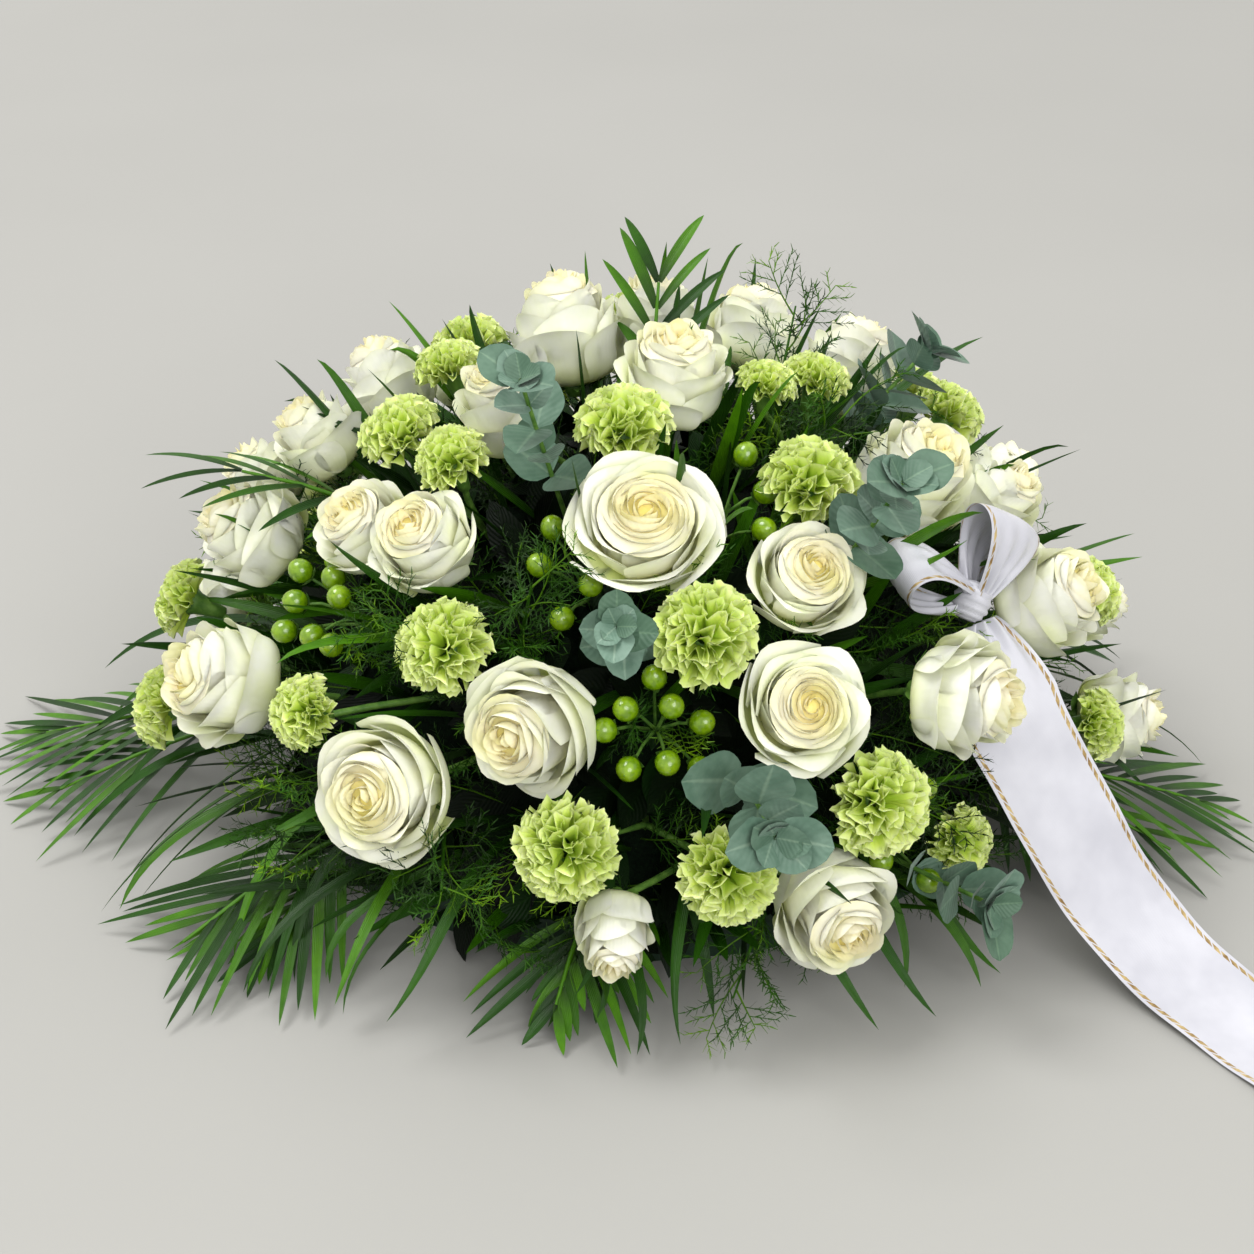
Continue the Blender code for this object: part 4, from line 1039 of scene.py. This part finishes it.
def fern_spray(skin, start, tip, dice, branches):
    """A fine plume: a stem, branchlets on both sides, and needles all round each."""
    run = tip - start
    along = run.normalized()
    flat = axes_along(along, dice.uniform(0, math.tau))
    bow = flat.col[0] * run.length * dice.uniform(-0.12, 0.12)
    stem = [start + run * t + bow * math.sin(math.pi * t) for t in np.linspace(0, 1, 6)]
    skin.tube(stem, 0.0007, 0.0003, sides=3, tone=0.6)
    tone = dice.uniform(0.1, 0.9)
    for i in range(branches):
        share = 0.15 + 0.85 * (i + 1) / branches
        spot = start + run * share + bow * math.sin(math.pi * share)
        side = flat.col[1] * (-1) ** i + flat.col[0] * dice.uniform(-0.5, 0.5)
        way = (along * 0.9 + side).normalized()
        reach = 0.026 * (1.15 - share) * dice.uniform(0.8, 1.2) + 0.006
        # Painted shade: branchlets low on the plume get a darker tone, for the shade deep among the blooms;
        # the rest of the tone differs at random.
        lit = tone * (0.2 + 0.8 * share)
        skin.tube([spot, spot + way * reach], 0.00035, 0.0002, sides=3, tone=lit)
        needles(skin, spot, way, reach, lit, dice)


def needles(skin, spot, way, reach, tone, dice):
    """Flat needles that stand out all round a branchlet."""
    count = max(5, round(reach / NEEDLE_STEP))
    axes = np.array(axes_along(way))
    t = np.linspace(0.1, 1.0, count)
    turn = TURN_STEP * np.arange(count) + dice.uniform(0, 6)
    out = np.stack([np.cos(turn), np.sin(turn), np.full(count, 0.9)], axis=-1) @ axes.T
    side = np.stack([-np.sin(turn), np.cos(turn), np.zeros(count)], axis=-1) @ axes.T
    feet = np.array(spot) + np.array(way) * reach * t[:, None]
    tips = feet + unit(out) * NEEDLE_LENGTH * np.sqrt(1.1 - 0.6 * t)[:, None]
    for foot, tip, wide in zip(feet, tips, side * NEEDLE_HALF):
        grid = np.array([[foot - wide, foot + wide], [tip - 0.3 * wide, tip + 0.3 * wide]])
        skin.sheet(grid, along=np.array([[0.0], [1.0]]), tone=tone)


def fern(name, branches, green):
    """The node's two plumes, made of many fine ones."""
    dice = random.Random(name)
    tips = [on_dome(azimuth, height) for azimuth, height, _ in branches]
    bottom, surface, way = root(mean(tips))
    fork = surface + way * FORK_HEIGHT
    start = fork - way * OVERLAP
    skin = Skin()
    skin.tube([bottom, surface, fork], SPRIG_RADIUS)
    for tip, (_, _, length) in zip(tips, branches):
        along = (tip - start).normalized()
        skin.tube([start, start + along * length], SPRIG_RADIUS, 0.0006)
        for i in range(9):
            spot = start + along * length * (0.15 + 0.1 * i)
            turn = axes_along(along, TURN_STEP * i + dice.uniform(-0.3, 0.3))
            heading = (turn @ Vector((0.75, 0, 1.0))).normalized()
            fern_spray(skin, spot, spot + heading * dice.uniform(0.030, 0.045), dice, branches=7)
    skin.piece(name + "_plumes", [green], [name], "fern_leaves")


# The ribbon
def smooth_route(stations, count):
    """Evenly spread (point, side) pairs on a smooth curve through the given ones."""
    last = len(stations) - 1

    def at(which, i):
        return Vector(stations[min(max(i, 0), last)][which])

    found = []
    for n in range(count):
        position = last * n / (count - 1)
        i = min(int(position), last - 1)
        t = position - i
        pair = []
        for which in (0, 1):
            a, b, c, d = (at(which, i + k) for k in (-1, 0, 1, 2))
            bend = (2 * a - 5 * b + 4 * c - d) * t**2 + (3 * b - a - 3 * c + d) * t**3
            pair.append(b + (c - a) * t / 2 + bend / 2)
        found.append((pair[0], pair[1].normalized()))
    return found


def steps(points):
    """The distance from each point to the next."""
    return np.linalg.norm(np.diff(points, axis=0), axis=1)


def cloth(points, sides, widths, pleat, swell=0.0):
    """A ribbon's sheet along points, with pleats where it is gathered, and swollen along its middle."""
    skin = Skin()
    along = unit(np.gradient(points, axis=0))
    normal = unit(np.cross(along, sides))
    u = np.linspace(-1, 1, 33)
    run = np.concatenate([[0], np.cumsum(steps(points))])
    flat = points[:, None] + sides[:, None] * (u * widths[:, None] / 2)[..., None]
    fold = pleat[:, None] * np.cos(3.5 * math.pi * u)
    sway = 0.0012 * np.sin(run[:, None] * 70 + 2.2 * u) * np.cos(run[:, None] * 31 - 1.4 * u)
    full = widths[:, None] / widths.max()
    rise = fold + swell * full * (1 - u**2) + sway * full
    skin.sheet(flat + normal[:, None] * rise[..., None], 0, across=u, along=run[:, None])
    return skin


def ribbon_tail(finish):
    """The tail that runs from the knot down to the floor and out of the picture."""
    route = smooth_route(RIBBON_ROUTE, 110)
    points = np.array([tuple(point) for point, _ in route])
    sides = np.array([tuple(side) for _, side in route])
    share = np.linspace(0, 1, len(points))
    widths = RIBBON_WIDTH * np.minimum(1.0, RIBBON_GATHER + 3.0 * share)
    pleat = 0.004 * np.clip(1 - 4 * share, 0, 1)
    points[:, 2] += 0.0014
    tail = cloth(points, sides, widths, pleat).piece("ribbon_tail_satin", [finish], ["ribbon_tail"], "ribbon")


def bow(finish, stems):
    """Two gathered loops and the band round the knot, on a wire."""
    knot = Vector(KNOT)
    bottom, _, _ = root(knot)
    for label, (way, height_way, length) in zip(("left", "right"), BOW_LOOPS):
        way = Vector(way).normalized()
        stand = Vector(height_way)
        stand = (stand - way * way.dot(stand)).normalized()
        bow_loop("ribbon_loop_" + label, knot, way, stand, length, finish)
    skin = Skin()
    turn = np.linspace(0, math.pi, 25)
    band = [(0.9 * math.sin(a) ** 0.6 * (1 + 0.07 * math.sin(14 * a)), 0.95 * math.cos(a)) for a in turn]
    skin.lathe(band, placer(knot, axes_along(Vector(BOW_LOOPS[1][0])), KNOT_RADIUS), 32)
    skin.tube([bottom, knot], STEM_RADIUS, slot=1)
    skin.piece("ribbon_bow_knot", [finish, stems], ["ribbon_bow"], "ribbon")


def bow_loop(name, knot, way, normal, length, finish):
    """A loop of ribbon from the knot and back to it."""
    side = np.array(way.cross(normal).normalized())
    share = np.linspace(0, 1, 49)
    out = np.sin(np.pi * share)
    rise = np.cos(np.pi * share) * (0.15 + 0.85 * out) * LOOP_HEIGHT / 2
    points = np.array(knot) + np.array(way) * (out * length)[:, None] + np.array(normal) * rise[:, None]
    widths = LOOP_WIDTH * (0.12 + 0.88 * out)
    pleat = 0.0040 * (1 - out) ** 1.3
    sides = np.repeat(side[None], len(points), axis=0)
    loop = cloth(points, sides, widths, pleat, -0.004).piece(name, [finish], (), "ribbon")


# The leaves that fill the dome between the blooms
def spread(count, least_height):
    """Azimuths and heights spread evenly over the dome from least_height up."""
    floor = math.sin(math.radians(least_height))
    for i in range(count):
        rise = floor + (1 - floor) * (i + 0.5) / count
        yield math.degrees(GOLDEN_TURN * i) % 360, math.degrees(math.asin(rise))


def filling(leaf, green, palm_green):
    """Leaves darkened with painted shade and fine ferns that stand in the foam between the blooms, and long
    leaves below them.
    """
    dice = random.Random("filling")
    for name, count, make, finish in (
        ("broad_leaves", BROAD_LEAVES, broad_leaf, leaf),
        ("lance_leaves", LANCE_LEAVES, lance_leaf, palm_green),
        ("fern_filling", FERN_PLUMES, fern_leaf, green),
    ):
        skin = Skin()
        for azimuth, height in spread(count, LOWEST_FILLING):
            make(skin, azimuth + dice.uniform(-6, 6), height + dice.uniform(-5, 5), dice)
        skin.piece(name, [finish], (), "fern_leaves")
    skin = Skin()
    for i in range(LONG_LEAVES):
        long_leaf(skin, 360 * i / LONG_LEAVES + dice.uniform(-4, 4), dice)
    for azimuth, height in BLADES:
        blades(skin, azimuth, height, dice)
    skin.piece("long_leaves", [palm_green], (), "palm_leaves")


def broad_leaf(skin, azimuth, height, dice):
    """A pointed leaf that leans over the foam."""
    way = direction(azimuth, height)
    start = foam_point(way) - way * OVERLAP
    normal = outward(start)
    lean = axes_along(normal, dice.uniform(0, math.tau)) @ Vector((1, 0, dice.uniform(0.4, 1.4)))
    long = dice.uniform(0.040, 0.062)
    t = np.linspace(0, 1, 8)
    spine = leaf_spine(start, lean.normalized(), long, dice.uniform(0, 0.3), 8)
    spine[:, 2] = np.maximum(spine[:, 2], 0.004)
    half = taper(0.21 * long, t, 0.08, 0.8)
    skin.blade(spine, normal, half, 0, dice.uniform(0, 0.4), dice.uniform(0, 0.8))


def lance_leaf(skin, azimuth, height, dice):
    """A long narrow leaf that reaches out to the blooms' faces, and now and then past them."""
    start = foam_point(direction(azimuth, height))
    reach = dice.choice((dice.uniform(0.86, 1.0), dice.uniform(0.9, 1.0), dice.uniform(1.0, 1.12)))
    tip = on_dome(azimuth + dice.uniform(-14, 14), max(height + dice.uniform(-12, 12), 2), reach)
    run = tip - start
    t = np.linspace(0, 1, 9)
    bow = np.array(UP) * -0.14 * run.length
    spine = np.array(start) + np.array(run) * t[:, None] - bow * (t * (1 - t))[:, None]
    side = axes_along(run.normalized(), dice.uniform(0, math.tau)).col[0]
    skin.blade(spine, side, taper(LANCE_HALF, t, 0.1, 0.7), 0, LEAF_FOLD, dice.uniform(0.0, 0.8))


def long_leaf(skin, azimuth, dice):
    """A long narrow leaf that leaves the foam low and arches down to the floor, shorter at the front."""
    start = foam_point(direction(azimuth, dice.uniform(6, 16)))
    turned = azimuth + dice.uniform(-10, 10)
    front = max(0.0, math.cos(math.radians(turned - 20)))
    tip = on_dome(turned, 0, dice.uniform(1.08, 1.26) - 0.14 * front)
    tip.z = dice.uniform(0.003, 0.03)
    top = start.lerp(tip, 0.5) + UP * dice.uniform(0.02, 0.05)
    swing = direction(azimuth + 90, 0) * dice.uniform(-0.03, 0.03)
    t = np.linspace(0, 1, 14)
    spine = bezier([start, top, start.lerp(tip, 0.8) + UP * 0.02 + swing, tip], t)
    side = UP + direction(azimuth + 90, 0) * dice.uniform(-0.6, 0.6)
    skin.blade(spine, side, taper(LONG_HALF, t, 0.1, 0.7), 0, LEAF_FOLD, dice.uniform(0.1, 0.9))


def blades(skin, azimuth, height, dice):
    """Three narrow blades from one place of the foam, which reach past the blooms."""
    start = foam_point(direction(azimuth, height))
    for _ in range(3):
        turned = azimuth + dice.uniform(-12, 12)
        tip = on_dome(turned, height + dice.uniform(-10, 10), dice.uniform(1.04, 1.2))
        bend = outward(start) * dice.uniform(0.0, 0.03) + UP * dice.uniform(-0.01, 0.02)
        t = np.linspace(0, 1, 12)
        spine = bezier([start, start.lerp(tip, 1 / 3), start.lerp(tip, 2 / 3) + bend, tip], t)
        side = axes_along((tip - start).normalized(), dice.uniform(0, math.tau)).col[0]
        skin.blade(spine, side, taper(BLADE_HALF, t, 0.2, 0.8), 0, LEAF_FOLD, dice.uniform(0.3, 1.0))


def fern_leaf(skin, azimuth, height, dice):
    """A plume of fern from the foam to just below the blooms' faces."""
    start = foam_point(direction(azimuth, height))
    turned = azimuth + dice.uniform(-16, 16)
    tip = on_dome(turned, max(height + dice.uniform(-14, 14), 2), dice.uniform(0.86, 1.0))
    fern_spray(skin, start, tip, dice, branches=16)


# Floor, lights and camera
FLOOR_SIZE = 12.0  # half a side
LAMPS = (  # name, place, aim, size and power
    ("key", (-2.4, 0.4, 5.2), (0, 0, 0.1), 3.0, 210),
    ("fill", (1.6, -4.4, 3.0), (0, 0, 0.15), 3.6, 170),
)
SKY_COLOUR = (1.0, 0.995, 0.98, 1)
SKY_STRENGTH = 0.95


def floor():
    """A plain pale floor, faintly uneven."""
    mesh = bpy.data.meshes.new("floor")
    corners = [(x * FLOOR_SIZE, y * FLOOR_SIZE, 0) for x, y in ((-1, -1), (1, -1), (1, 1), (-1, 1))]
    mesh.from_pydata(corners, [], [(0, 1, 2, 3)])
    obj = added("floor", mesh)
    finish = Finish("floor_grey", 0.75, Specular_IOR_Level=0.2)
    finish.colour(finish.patches(1.5, (0.3, (160, 159, 155)), (0.7, (164, 163, 159))))
    mesh.materials.append(finish.material)


def area_light(name, place, aim, size, power):
    """A round lamp that faces its aim."""
    light = bpy.data.lights.new(name, "AREA")
    light.shape = "DISK"
    light.size = size
    light.energy = power
    obj = added(name, light)
    obj.location = place
    obj.rotation_euler = (Vector(aim) - Vector(place)).to_track_quat("-Z", "Y").to_euler()


def studio():
    """Soft light all round, with a large lamp above the left and another in front."""
    world = bpy.data.worlds.new("studio")
    world.use_nodes = True
    sky = world.node_tree.nodes["Background"].inputs
    sky["Color"].default_value = SKY_COLOUR
    sky["Strength"].default_value = SKY_STRENGTH
    bpy.context.scene.world = world
    for lamp in LAMPS:
        area_light(*lamp)


def camera():
    """The view from the front and above."""
    data = bpy.data.cameras.new("camera")
    data.lens = CAMERA_LENS
    data.sensor_width = CAMERA_SENSOR
    obj = added("camera", data)
    elevation = math.radians(CAMERA_ELEVATION)
    back = Vector((0, -math.cos(elevation), math.sin(elevation)))
    obj.location = CAMERA_TARGET + back * CAMERA_DISTANCE
    obj.rotation_euler = (math.pi / 2 - elevation, 0, 0)
    bpy.context.scene.camera = obj


def repaint(name, finish):
    """Gives a node's own surface a finer material."""
    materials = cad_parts[name].data.materials
    for i in range(len(materials)):
        materials[i] = finish


def main():
    camera()
    studio()
    floor()
    stems = stem_green()
    satin_finish = satin()
    leaf = palm_leaf()
    green = fern_green()
    heads = settled([ROSES, CARNATIONS])
    petals = white_petal()
    for name in ROSES:
        bunch(name, heads[name], rose_head, rose_foot, petals, stems, "white_petals")
    frills = green_petal()
    for name in CARNATIONS:
        bunch(name, heads[name], carnation_head, carnation_foot, frills, stems, "green_petals")
    berries = berry_green()
    for name, spray in BERRY_SPRAYS.items():
        berry_spray(name, spray, berries, stems)
    gum = eucalyptus_leaf()
    for name, sprig in EUCALYPTUS.items():
        eucalyptus_sprig(name, sprig, gum, stems)
    for name, fronds in PALMS.items():
        palm(name, fronds, leaf)
    for name, branches in FERNS.items():
        fern(name, branches, green)
    bow(satin_finish, stems)
    ribbon_tail(satin_finish)
    filling(shade_darkened_leaf(), green, leaf)
    repaint("foam", shade_darkened_foam())
    repaint("tray", tray_plastic())
    bpy.context.scene.view_settings.view_transform = "Standard"


main()
